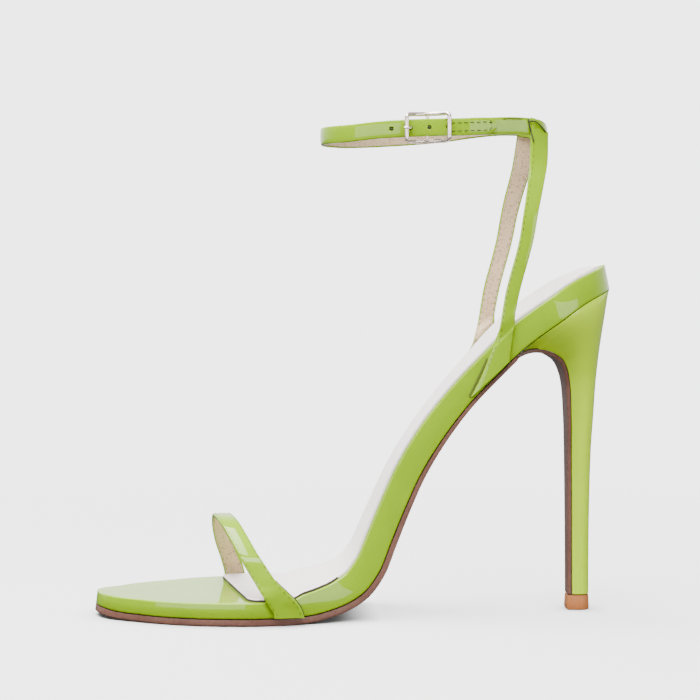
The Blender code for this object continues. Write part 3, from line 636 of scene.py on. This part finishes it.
def heelRing(row, first):
    frontRun, frontRise, backRun, backRise, throat, belly, seat = row
    front = np.array([xOf(frontRun), zOf(frontRise) + lastSize["gap"]])
    back = np.array([xOf(backRun), zOf(backRise)])
    if seat < heelSize["breastBelow"]:
        front = np.array([xOf(frontRun) + lastSize["gap"], zOf(frontRise)])
    if first:
        front[0] += heelSize["lip"]
    outer, inner = [], []
    for k in range(heelSize["points"] + 1):
        u = 0.5 - 0.5 * math.cos(math.pi * k / heelSize["points"])
        x, z = front + u * (back - front)
        at = min(runOf(x), 1.0)
        under = jointZ(at) - heelSize["seatGap"] * math.hypot(1, jointSlope(at))
        nearFront = 1 if first else min(u / heelSize["follow"], 1)
        follow = seat * nearFront * (2 - nearFront)
        z += follow * (under - z)
        rise = math.sin(min(u / heelSize["belly"], 1) * math.pi / 2)
        close = math.sqrt(1 - max((u - heelSize["belly"]) / (1 - heelSize["belly"]), 0) ** 2)
        own = lastSize["seat"] * (throat + (belly - throat) * rise) * close
        for side, points in ((-1, outer), (1, inner)):
            edge = max(halfWidth(at, side) - heelSize["inset"], 0) if u < 1 else 0
            points.append(Vector((x, side * (own + follow * (edge - own)), z)))
    return outer + inner[-2::-1]


def makeHeel():
    rings = [heelRing(row, i == 0) for i, row in enumerate(smoothRows(heelRows, heelSize["rows"]))]
    settle(loft("heel_wrap", rings, [heelPatentPaintedLight]), "lime_patent", "heel")


tipSize = dict(height=0.0053, rows=((1.0, 0.985), (0.9, 1.0), (0.5, 1.03), (0.11, 1.06), (0.0, 1.02)))


def makeTopPiece():
    top = heelRing(heelRows[-1], False)
    front = min(point.x for point in top)
    for point in top:
        if point.x < front + tiny:
            point.x -= soleSize["cover"] + lastSize["gap"]
    middle = sum(top, Vector()) / len(top)
    rings = []
    for share, size in tipSize["rows"]:
        high = share * tipSize["height"]
        ring = [(middle.x + (point.x - middle.x) * size, point.y * size, high) for point in top]
        rings.append(ring)
    settle(loft("heel_tip", rings, [tipRubber]), "tip_tan", "top_piece")


makeHeel()
makeTopPiece()
print("heel done")


# Straps: patent turned round a thin edge, with a lining inside
# A strap's section, points across and out: the patent's first, then the lining's
def strapSection(half, wall):
    crown, edge = strapSize["crown"], half - strapSize["margin"]
    radius = min(strapSize["round"], wall * strapSize["roundMost"])
    bottom, top = -wall / 2 + strapSize["lining"], wall / 2 - crown
    inward, up = strapSize["turned"]
    right = [(edge, bottom), (half - inward, bottom), (half, bottom + up)]
    for a, b in arc(strapSize["roundSteps"]):
        right.append((half - radius + radius * a, top - radius + radius * b))
    over = [(half * share, top + crown * (1 - share * share)) for share in strapSize["across"]]
    patentPart = right + over + [(-a, b) for a, b in reversed(right)]
    end, middle = edge - strapSize["liningEdge"], edge * strapSize["liningAt"]
    liningPart = [(across, -wall / 2) for across in (-end, -middle, middle, end)]
    return patentPart + liningPart, len(patentPart)


def strapLoft(name, rows, wall, fit=None):  # rows of middle, half width vector and way out
    rings = []
    for middle, wide, out in rows:
        half = wide.length
        section, patentCount = strapSection(half, wall)
        ring = []
        for across, up in section:
            point = middle + wide * (across / half)
            if fit:
                point = fit(point, wall)
            ring.append(point + out * up)
        rings.append(ring)
    return loft(name, rings, [patent, lining], set(range(patentCount - 1, len(section))))


rimSize = dict(clearance=0.004, gaps=1.5, look=(0, 0.5, 1, 1.4))


def clearOfBed(point, wall):  # a strap runs down outside the footbed
    run = runOf(point.x)
    high = lastSize["board"] * boardShare(run)
    shift = high * math.sin(math.radians(edgeLean(run))) / lastSize["length"]
    widest = max(halfWidth(run + share * shift, point.y) for share in rimSize["look"])
    edge = widest + rimSize["gaps"] * lastSize["gap"] + wall / 2
    over = (point.z - rimZ(run) - wall) / rimSize["clearance"]
    if over < 1 and abs(point.y) < edge:
        point.y = math.copysign(edge + clamp(over) * (abs(point.y) - edge), point.y)
    return point


def toeRows(steps):
    middles = []
    for run, across, rise, width, upright in smoothRows(toeStrapRows, steps):
        edge = halfWidth(run, across) + lastSize["gap"] + strapSize["wall"] / 2
        middle = Vector((xOf(run), across * edge, zOf(0) + rise * toeSize["arch"]))
        middles.append((middle, width, upright))
    rows = []
    for i, (middle, width, upright) in enumerate(middles):
        ahead, behind = neighbours(middles, i)
        along = (ahead[0] - behind[0]).normalized()
        level = Vector((1, 0, 0))
        square = (level - along * level.dot(along)).normalized()
        wide = level.lerp(square, upright).normalized() * width * toeSize["width"] / 2
        out = wide.cross(along).normalized()
        away = out.dot(Vector((0, middle.y, toeSize["outUp"])))
        rows.append((middle, wide, out if away > 0 else -out))
    return rows


def makeToeStrap():
    made = strapLoft("toe_strap_patent", toeRows(toeSize["steps"]), strapSize["wall"], clearOfBed)
    settle(made, "lime_patent", "toe_strap")


makeToeStrap()
print("toe strap done")


# Ankle strap: an open strip round the ankle, with its free end on the outside
pathSize = dict(steps=10, look=0.0015, fine=800)


class Path:
    def __init__(self, points):
        self.points = points + points[:1]
        steps = [(b - a).length for a, b in zip(self.points, self.points[1:])]
        self.length = np.concatenate([[0], np.cumsum(steps)])

    def at(self, distance):
        distance %= self.length[-1]
        sides = zip(*self.points)
        return Vector([np.interp(distance, self.length, side) for side in sides])

    def along(self, distance):
        look = pathSize["look"]
        return (self.at(distance + look) - self.at(distance - look)).normalized()

    def out(self, distance):
        along = self.along(distance)
        return Vector((along.y, -along.x, 0)).normalized()

    def nearest(self, x, side):
        fine = np.linspace(0, self.length[-1], pathSize["fine"], endpoint=False)
        places = [self.at(d) for d in fine]
        misses = [abs(p.x - x) if p.y * side > 0 else 1 for p in places]
        return fine[int(np.argmin(misses))]


def ankleLoop(steps):
    outer, inner = [], []
    for run, across, rise, innerRise in ankleRows:
        outer.append((xOf(run), -across * ankleSize["across"], rise * ankleSize["rise"]))
        inner.append((xOf(run), across * ankleSize["across"], innerRise * ankleSize["rise"]))
    return [Vector(point) for point in smoothRows(outer + inner[-2:0:-1], steps, closed=True)]


path = Path(ankleLoop(pathSize["steps"]))
buckleAt = path.nearest(xOf(ankleSize["buckleRun"]), -1)
layerStep = strapSize["ankleWall"] + lastSize["gap"]
ankleLine = dict(count=260, rampAt=0.22, rampOver=0.12, tip=0.0048, tipSteps=8, blunt=0.28)


def ankleRow(distance, length, start):  # the free end lies a layer higher, and is pointed
    share = (distance - start) / length
    lift = ease(1 - (1 - share - ankleLine["rampAt"]) / ankleLine["rampOver"]) * layerStep
    blunt = ankleLine["blunt"]
    point = blunt + (1 - blunt) * roundEnd((1 - share) * length, ankleLine["tip"])
    return path.at(distance) + path.out(distance) * lift, point


def makeAnkleStrap():
    start = buckleAt + prongRows[0][0] * buckleSize["reach"] + buckleSize["prong"] + lastSize["gap"]
    length = path.length[-1] - (start - buckleAt) + ankleSize["freeEnd"]
    tip, count = ankleLine["tip"], ankleLine["tipSteps"]
    tipSteps = [length - tip * (k / count) ** 2 for k in range(count, -1, -1)]
    steps = list(np.linspace(0, length - tip, ankleLine["count"])[:-1]) + tipSteps
    rows = []
    for step in steps:
        middle, point = ankleRow(start + step, length, start)
        rows.append((middle, Vector((0, 0, point * ankleSize["width"] / 2)), path.out(start + step)))
    made = strapLoft("ankle_strap", rows, strapSize["ankleWall"])
    punchHoles(made)
    settle(made, "lime_patent", "ankle_upper")
    return start, length


def holePlaces():  # numbered from the hole that the prong is in
    first = buckleAt - buckleSize["reach"]
    numbers = range(-holeSize["before"], holeSize["behind"] + 1)
    return [(number, first + number * holeSize["pitch"]) for number in numbers]


def punchHoles(strap):
    for number, at in holePlaces():
        mesh = bmesh.new()
        bmesh.ops.create_cone(
            mesh, cap_ends=True, segments=holeSize["sides"], radius1=holeSize["radius"],
            radius2=holeSize["radius"], depth=2 * strapSize["ankleWall"],
        )
        out = path.out(at)
        turn = upward.rotation_difference(out).to_matrix().to_4x4()
        turn.translation = path.at(at) + out * layerStep
        bmesh.ops.transform(mesh, matrix=turn, verts=mesh.verts)
        punch = addMesh("punch", mesh, [])
        cut = strap.modifiers.new("hole", "BOOLEAN")
        cut.operation = "DIFFERENCE"
        cut.object = punch
        bakeModifiers(strap)
        bpy.data.objects.remove(punch, do_unlink=True)


def bakeModifiers(obj):
    graph = bpy.context.evaluated_depsgraph_get()
    data = bpy.data.meshes.new_from_object(obj.evaluated_get(graph))
    obj.modifiers.clear()
    obj.data = data


strapStart, strapLength = makeAnkleStrap()
print("ankle strap done")


# Back straps: up from the sole, over the outside of the ankle strap and round it
legSize = dict(forward=(0.0095, 0.0040), meets=(0.86, 1.01), steps=12)


def legRows(side, steps):
    rows = []
    for front, frontRise, rear, rearRise, frontOut, rearOut in smoothRows(backStrapRows, steps):
        if side > 0:
            low, high = legSize["meets"]
            forward = 1 - clamp((frontRise - low) / (high - low))
            front -= legSize["forward"][0] * forward
            rear -= legSize["forward"][1] * forward
        a = Vector((xOf(front), side * frontOut * lastSize["seat"], frontRise * ankleSize["rise"]))
        b = Vector((xOf(rear), side * rearOut * lastSize["seat"], rearRise * ankleSize["rise"]))
        rows.append((a, b))
    made = []
    for i, (a, b) in enumerate(rows):
        ahead, behind = neighbours(rows, i)
        along = ((ahead[0] + ahead[1]) - (behind[0] + behind[1])).normalized()
        wide = (b - a) / 2
        out = wide.cross(along).normalized()
        out = out if out.y * side > 0 else -out
        made.append(((a + b) / 2, wide, out))
    return made


def makeLeg(side):
    name, rows = f"back_strap_{sideNames[side]}", legRows(side, legSize["steps"])
    made = strapLoft(name, rows, strapSize["wall"], clearOfBed)
    settle(made, "lime_patent")


sleeveSize = dict(
    length=0.0062, wall=0.0007, top=0.0003, fall=0.0026, round=0.5, row=8, steps=10, sides=32,
)


def makeSleeve(side):  # the back strap's end, folded round the ankle strap
    distance = path.nearest(xOf(ankleRows[sleeveSize["row"]][0]), side)
    high = ankleSize["width"] / 2 + sleeveSize["top"]
    deep = strapSize["ankleWall"] / 2 + sleeveSize["wall"]
    rings = []
    for k in range(sleeveSize["steps"] + 1):
        at = distance + (k / sleeveSize["steps"] - 0.5) * sleeveSize["length"]
        middle, out = path.at(at), path.out(at)
        back = k / sleeveSize["steps"] if side < 0 else 1 - k / sleeveSize["steps"]
        ring = []
        for a, b in arc(sleeveSize["sides"], math.tau)[:-1]:
            flat = max(abs(a), abs(b)) ** sleeveSize["round"]
            tall = high - sleeveSize["fall"] * back * back if b > 0 else high
            ring.append(middle + out * a / flat * deep + Vector((0, 0, b / flat * tall)))
        rings.append(ring)
    settle(loft(f"sleeve_{sideNames[side]}", rings, [patent]), "lime_patent")


for side in (-1, 1):
    makeLeg(side)
    makeSleeve(side)
print("back straps done")


# Buckle
capRings = (0.55, 0.85, 0.98)  # rings of a tube's rounded end, as shares of its radius


# out is the way that the tube's flat side faces
def tube(name, points, radius, out, sides=16, cyclic=False, flat=1.0, material=metal):
    rings = []
    for i, point in enumerate(points):
        ahead, behind = neighbours(points, i)
        if cyclic:
            ahead, behind = points[(i + 1) % len(points)], points[i - 1]
        along = (ahead - behind).normalized()
        first = (out - along * out.dot(along)).normalized()
        second = along.cross(first)
        ring = []
        for a, b in arc(sides, math.tau)[:-1]:
            ring.append(point + first * a * radius * flat + second * b * radius)
        rings.append(ring)
    if not cyclic:
        for end, before in ((0, 1), (-1, -2)):
            tip = points[end]
            along = (tip - points[before]).normalized()
            extra = []
            for share in capRings:
                shrink = math.sqrt(1 - share * share)
                extra.append([tip + (p - tip) * shrink + along * radius * share for p in rings[end]])
            rings = extra[::-1] + rings if end == 0 else rings + extra
    return loft(name, rings, [material], cyclic=cyclic)


class BuckleFrame:
    def __init__(self):
        self.middle, self.along = path.at(buckleAt), path.along(buckleAt)
        self.out = path.out(buckleAt)
        self.rest = strapSize["ankleWall"] / 2 + layerStep + lastSize["gap"] + buckleSize["bar"]

    def place(self, along, up, out):
        return self.middle + self.along * along + Vector((0, 0, up)) + self.out * out


def makeBuckle():
    at = BuckleFrame()
    halfLength, halfHeight = buckleSize["length"] / 2, buckleSize["height"] / 2
    corner, steps = buckleSize["corner"], buckleSize["cornerSteps"]
    points = []
    for quarter, (sx, sy) in enumerate(((1, 1), (-1, 1), (-1, -1), (1, -1))):
        for k in range(steps + 1):
            angle = math.pi / 2 * (quarter + k / steps)
            along = sx * (halfLength - corner) + corner * math.cos(angle)
            points.append((along, sy * (halfHeight - corner) + corner * math.sin(angle)))
    bars = []
    for (a, b), (c, d) in zip(points, points[1:] + points[:1]):
        pieces = buckleSize["barSteps"] if abs(c - a) > corner * 2 else 1
        for k in range(pieces):
            along, up = a + (c - a) * k / pieces, b + (d - b) * k / pieces
            bars.append(at.place(along, up, (along / halfLength) ** 2 * at.rest))
    made = tube("buckle_bars", bars, buckleSize["bar"], at.out, cyclic=True, flat=buckleSize["flat"])
    settle(made, "rose_metal", "buckle_frame")
    ends = [at.place(0, s * halfHeight, 0) for s in (-1, -0.5, 0, 0.5, 1)]
    settle(tube("buckle_centre_bar", ends, buckleSize["centre"], at.out), "rose_metal")
    top = at.rest + buckleSize["bar"] + lastSize["gap"] + buckleSize["prong"]
    rows = smoothRows(prongRows, buckleSize["pinSteps"])
    line = [at.place(a * buckleSize["reach"], 0, h * top) for a, h in rows]
    made = tube("buckle_pin", line, buckleSize["prong"], upward)
    settle(made, "rose_metal", "buckle_prong")


makeBuckle()
print("buckle done")


# Painted shade: dark tubes where straps lie on the footbed and on each other, and dark discs inside
# the holes
# Each row: its radius and flatness, the way it faces and its points in mm
paintedShadeRows = dict(
    strap_end=(
        0.30, 1.0, (0, 0, 1), (104.5, -17.5, 184.3), (105.0, -17.35, 181.9), (105.6, -17.45, 179.7),
        (106.0, -18.15, 177.8), (106.4, -18.3, 176.1),
    ),
    # the dark line across the leg's folded top: painted shade
    fold=(
        0.28, 1.0, (0, 0, 1), (104.8, -17.4, 183.6), (106.7, -17.4, 183.7), (108.3, -16.9, 182.9),
        (110.0, -15.65, 181.4), (111.5, -14.4, 179.8),
    ),
    strap_top=(
        0.12, 1.0, (0, 0, 1), (94.4, -22.1, 184.3), (98.0, -20.6, 184.5), (102.0, -18.7, 184.5),
    ),
    # a flat dark wedge beside the leg's flap: painted shade
    flap_shade=(
        0.90, 0.12, (0, -1, 0), (89.4, -22.65, 96.9), (87.9, -22.65, 93.4), (86.2, -22.45, 89.7),
        (84.4, -22.25, 85.9), (82.6, -22.05, 82.2),
    ),
)
paintedShadeSize = dict(
    radius=0.00020, low=0.0003, toeSteps=8, toeRows=(2, 26), toeSides=8, steps=5, sides=10,
    bottom=0.1, disc=0.0002, over=1.05,
)


# a dark tube along the toe strap's rear edge: painted shade where the strap stands off the footbed
def toePaintedShade():
    first, last = paintedShadeSize["toeRows"]
    rows = toeRows(paintedShadeSize["toeSteps"])[first:last]
    rear = 1 if rows[0][1].x > 0 else -1
    line = []
    for middle, wide, out in rows:
        point = clearOfBed(middle + wide * rear, strapSize["wall"])
        below = out * (strapSize["wall"] / 2 - paintedShadeSize["low"])
        line.append(point - below + wide.normalized() * rear * paintedShadeSize["radius"] / 2)
    made = tube(
        "toe_strap_painted_shade", line, paintedShadeSize["radius"], upward,
        sides=paintedShadeSize["toeSides"], material=creaseShade,
    )
    settle(made, "lime_patent")


def makePaintedShades():
    for name, (radius, flat, out, *points) in paintedShadeRows.items():
        line = [Vector(point) / 1000 for point in smoothRows(points, paintedShadeSize["steps"])]
        made = tube(
            f"{name}_crease", line, radius / 1000, Vector(out),
            sides=paintedShadeSize["sides"], flat=flat, material=foldShade if flat < 1 else creaseShade,
        )
        settle(made, "lime_patent")


# dark discs in the holes: painted shade for their insides
def makeHolePaintedShade():
    for number, place in holePlaces():
        at = place + path.length[-1]
        middle, out = ankleRow(at, strapLength, strapStart)[0], path.out(at)
        inside = middle - out * strapSize["ankleWall"] * paintedShadeSize["bottom"]
        ends = [inside + out * share * paintedShadeSize["disc"] for share in (-1, 0, 1)]
        made = tube(
            f"hole_painted_shade_{number + 1}", ends, holeSize["radius"] * paintedShadeSize["over"],
            upward, material=creaseShade,
        )
        settle(made, "lime_patent")


toePaintedShade()
makePaintedShades()
makeHolePaintedShade()
print("painted shade done")


# Stitches, as thread segments on lines that lie on the straps
stitchSize = dict(
    pitch=0.00235, size=(0.0009, 0.00040, 0.00020), fine=(0.0006, 0.00010, 0.00010), ball=(8, 6),
    ankle=0.47, ankleFrom=0.009, ankleTo=0.0022, ankleCount=60, ankleSink=0.3,
    toe=0.80, lining=0.72, leg=0.74, sink=0.4, steps=8,
    toeRows=(4, -4), liningRows=(10, -6), legRows=(12, -4),
)


def stitchTree():
    tree = bpy.data.node_groups.new("stitches", "GeometryNodeTree")
    face = tree.interface
    face.new_socket("Geometry", in_out="INPUT", socket_type="NodeSocketGeometry")
    pitch = face.new_socket("Pitch", in_out="INPUT", socket_type="NodeSocketFloat")
    size = face.new_socket("Size", in_out="INPUT", socket_type="NodeSocketVector")
    face.new_socket("Geometry", in_out="OUTPUT", socket_type="NodeSocketGeometry")
    new = tree.nodes.new
    start, end = new("NodeGroupInput"), new("NodeGroupOutput")
    toCurve, resample = new("GeometryNodeMeshToCurve"), new("GeometryNodeResampleCurve")
    resample.mode = "LENGTH"
    ball = new("GeometryNodeMeshUVSphere")
    ball.inputs["Segments"].default_value, ball.inputs["Rings"].default_value = stitchSize["ball"]
    ball.inputs["Radius"].default_value = 1.0
    tangent, turn = new("GeometryNodeInputTangent"), new("FunctionNodeAlignRotationToVector")
    turn.axis = "X"
    place, real = new("GeometryNodeInstanceOnPoints"), new("GeometryNodeRealizeInstances")
    paint = new("GeometryNodeSetMaterial")
    paint.inputs["Material"].default_value = threadMaterial
    for source, output, target, entry in (
        (start, "Geometry", toCurve, "Mesh"), (toCurve, "Curve", resample, "Curve"),
        (start, "Pitch", resample, "Length"), (resample, "Curve", place, "Points"),
        (ball, "Mesh", place, "Instance"), (tangent, "Tangent", turn, "Vector"),
        (turn, "Rotation", place, "Rotation"), (start, "Size", place, "Scale"),
        (place, "Instances", real, "Geometry"), (real, "Geometry", paint, "Geometry"),
        (paint, "Geometry", end, "Geometry"),
    ):
        tree.links.new(source.outputs[output], target.inputs[entry])
    return tree, pitch.identifier, size.identifier


stitches, pitchKey, sizeKey = stitchTree()


def stitchLines(name, lines, size):
    mesh = bmesh.new()
    for line in lines:
        verts = [mesh.verts.new(point) for point in line]
        for a, b in zip(verts, verts[1:]):
            mesh.edges.new((a, b))
    obj = addObject(name, meshData(name, mesh))
    grow = obj.modifiers.new("stitches", "NODES")
    grow.node_group = stitches
    grow[pitchKey] = stitchSize["pitch"]
    grow[sizeKey] = size
    bakeModifiers(obj)
    settle(obj, "lime_patent")


def strapLines(rows, shares, up, ends=(None, None), clear=False):
    lines = []
    for share in shares:
        line = []
        for middle, wide, out in rows[slice(*ends)]:
            point = middle + wide * share
            if clear:
                point = clearOfBed(point, strapSize["wall"])
            line.append(point + out * up)
        lines.append(line)
    return lines


outerFace = strapSize["wall"] / 2 - strapSize["crown"] * stitchSize["sink"]
innerFace = -strapSize["wall"] / 2


def stitchAnkle():
    rows = []
    first = strapLength - ankleSize["freeEnd"] + stitchSize["ankleFrom"]
    for step in np.linspace(first, strapLength - stitchSize["ankleTo"], stitchSize["ankleCount"]):
        middle, point = ankleRow(strapStart + step, strapLength, strapStart)
        wide = Vector((0, 0, point * ankleSize["width"] / 2))
        rows.append((middle, wide, path.out(strapStart + step)))
    up = strapSize["ankleWall"] / 2 - strapSize["crown"] * stitchSize["ankleSink"]
    low, high = strapLines(rows, (-stitchSize["ankle"], stitchSize["ankle"]), up)
    low.append(high[-1])  # the two rows meet at the tip
    stitchLines("ankle_stitches", [low, high], stitchSize["size"])


def stitchToe():
    rows, edge, inner = toeRows(stitchSize["steps"]), stitchSize["toe"], stitchSize["lining"]
    lines = strapLines(rows, (-edge, edge), outerFace, stitchSize["toeRows"], clear=True)
    stitchLines("toe_stitches", lines, stitchSize["fine"])
    lines = strapLines(rows, (-inner, inner), innerFace, stitchSize["toeRows"], clear=True)
    stitchLines("toe_lining_stitches", lines, stitchSize["fine"])


def stitchLegs():
    inner = stitchSize["lining"]
    for side in (1, -1):
        rows = legRows(side, stitchSize["steps"])
        lines = strapLines(rows, (-inner, inner), innerFace, stitchSize["liningRows"], clear=True)
        stitchLines(f"leg_lining_stitches_{sideNames[side]}", lines, stitchSize["fine"])
    lines = strapLines(rows, (-stitchSize["leg"],), outerFace, stitchSize["legRows"], clear=True)
    stitchLines("leg_stitches", lines, stitchSize["fine"])


stitchAnkle()
stitchToe()
stitchLegs()
print("stitches done")


# Floor, lights and camera
stageSize = dict(
    half=6.0, drop=0.0002, glow=4.0, room=0.35, lit=0.5, near=0.16, far=0.55,
    shade=0.010, shadeStrength=1.25,
)


def makeFloor():
    mesh = bmesh.new()
    bmesh.ops.create_grid(mesh, x_segments=1, y_segments=1, size=stageSize["half"])
    data = meshData("floor", mesh)
    for vert in data.vertices:
        vert.co.z = -stageSize["drop"]
    floor = addObject("floor", data)
    made = Finish("pale_floor", colours["floor"], roughness=0.9)
    length = made.node("ShaderNodeVectorMath", "Value", operation="LENGTH", Vector=made.place())
    away = length.ramp(stageSize["near"], stageSize["far"])
    # the floor's glow is darkened by ambient occlusion beside the shoe: a painted contact shadow
    closed = 1 - made.node("ShaderNodeAmbientOcclusion", "AO", Distance=stageSize["shade"])
    shade = 1 - made.node("ShaderNodeClamp", "Result", Value=closed * stageSize["shadeStrength"])
    light = (1 - stageSize["lit"] * (1 - away)) * shade
    seen = made.node("ShaderNodeLightPath", "Is Camera Ray")
    strength = light * (stageSize["room"] + seen * (stageSize["glow"] - stageSize["room"]))
    glow = made.node("ShaderNodeEmission", "Emission", Strength=strength)
    plain = made.node("ShaderNodeBsdfDiffuse", "BSDF", Color=(*colours["floor"], 1.0))
    none = made.node("ShaderNodeBsdfDiffuse", "BSDF", Color=(0.0, 0.0, 0.0, 1.0))
    dark = 1 - seen * (1 - away)  # the plain ground is for the camera alone, near the shoe
    ground = made.node("ShaderNodeMixShader", "Shader", Fac=dark, Shader=plain, Shader_001=none)
    both = made.node("ShaderNodeAddShader", "Shader", Shader=glow, Shader_001=ground)
    made.tree.links.new(both.socket, made.tree.nodes["Material Output"].inputs["Surface"])
    data.materials.append(made.material)


def softbox(name, place, target, size, power):
    data = bpy.data.lights.new(name, "AREA")
    data.shape = "RECTANGLE"
    data.size, data.size_y = size
    data.energy = power
    lamp = addObject(name, data)
    lamp.location = place
    lamp.rotation_euler = (Vector(target) - Vector(place)).to_track_quat("-Z", "Y").to_euler()


lightSize = dict(seen=4.0, front=0.16, back=2.2, top=0.5, depth=(-0.2, 0.75), height=(0.25, 0.85))
# place, what it is aimed at, size and power
lampRows = dict(
    over=((-0.35, 0.0, 1.20), (0.04, 0.0, 0.05), (1.3, 0.8), 62.0),
    front=((0.1, -1.3, 1.55), (0.04, 0.0, 0.08), (1.2, 0.6), 36.0),
    left=((-0.75, -1.25, 0.10), (0.06, 0.0, 0.08), (1.4, 0.9), 22.0),
    right=((1.0, -1.0, 0.12), (0.06, 0.0, 0.08), (1.0, 0.8), 15.0),
)
white = (1.0, 1.0, 1.0, 1.0)


def makeLights():
    world = bpy.data.worlds.new("studio")
    world.use_nodes = True
    tree = world.node_tree
    new, link = tree.nodes.new, tree.links.new
    place, parts = new("ShaderNodeTexCoord"), new("ShaderNodeSeparateXYZ")
    link(place.outputs["Generated"], parts.inputs["Vector"])
    depth, height = Wire(tree, parts.outputs["Y"]), Wire(tree, parts.outputs["Z"])
    far = depth.ramp(*lightSize["depth"])
    level = lightSize["front"] + far * (lightSize["back"] - lightSize["front"])
    up = height.ramp(*lightSize["height"])
    level = level * (1 - up) + up * lightSize["top"]
    seen, room = new("ShaderNodeBackground"), tree.nodes["Background"]
    seen.inputs["Strength"].default_value = lightSize["seen"]
    seen.inputs["Color"].default_value = room.inputs["Color"].default_value = white
    link(level.socket, room.inputs["Strength"])
    rays, mix = new("ShaderNodeLightPath"), new("ShaderNodeMixShader")
    link(rays.outputs["Is Camera Ray"], mix.inputs["Fac"])
    link(room.outputs[0], mix.inputs[1])
    link(seen.outputs[0], mix.inputs[2])
    link(mix.outputs[0], tree.nodes["World Output"].inputs["Surface"])
    bpy.context.scene.world = world
    for name, row in lampRows.items():
        softbox(name, *row)


# focal length, horizon and image size in pixels of the photograph's frame
viewSize = dict(
    azimuth=-4.0, distance=0.850, height=0.1377, pivot=0.0394, focal=2255, horizon=245, image=700,
    sensor=36.0, clip=(0.05, 30.0),
)


def makeCamera():
    data = bpy.data.cameras.new("camera")
    data.sensor_width = viewSize["sensor"]
    data.lens = viewSize["focal"] / viewSize["image"] * data.sensor_width
    camera = addObject("camera", data)
    turn = math.radians(viewSize["azimuth"])
    away = viewSize["distance"]
    x, y = viewSize["pivot"] + away * math.sin(turn), -away * math.cos(turn)
    camera.location = (x, y, viewSize["height"])
    camera.rotation_euler = (math.pi / 2, 0.0, turn)
    data.shift_y = -(viewSize["image"] / 2 - viewSize["horizon"]) / viewSize["image"]
    data.clip_start, data.clip_end = viewSize["clip"]
    bpy.context.scene.camera = camera


makeFloor()
makeLights()
makeCamera()
print("stage done")
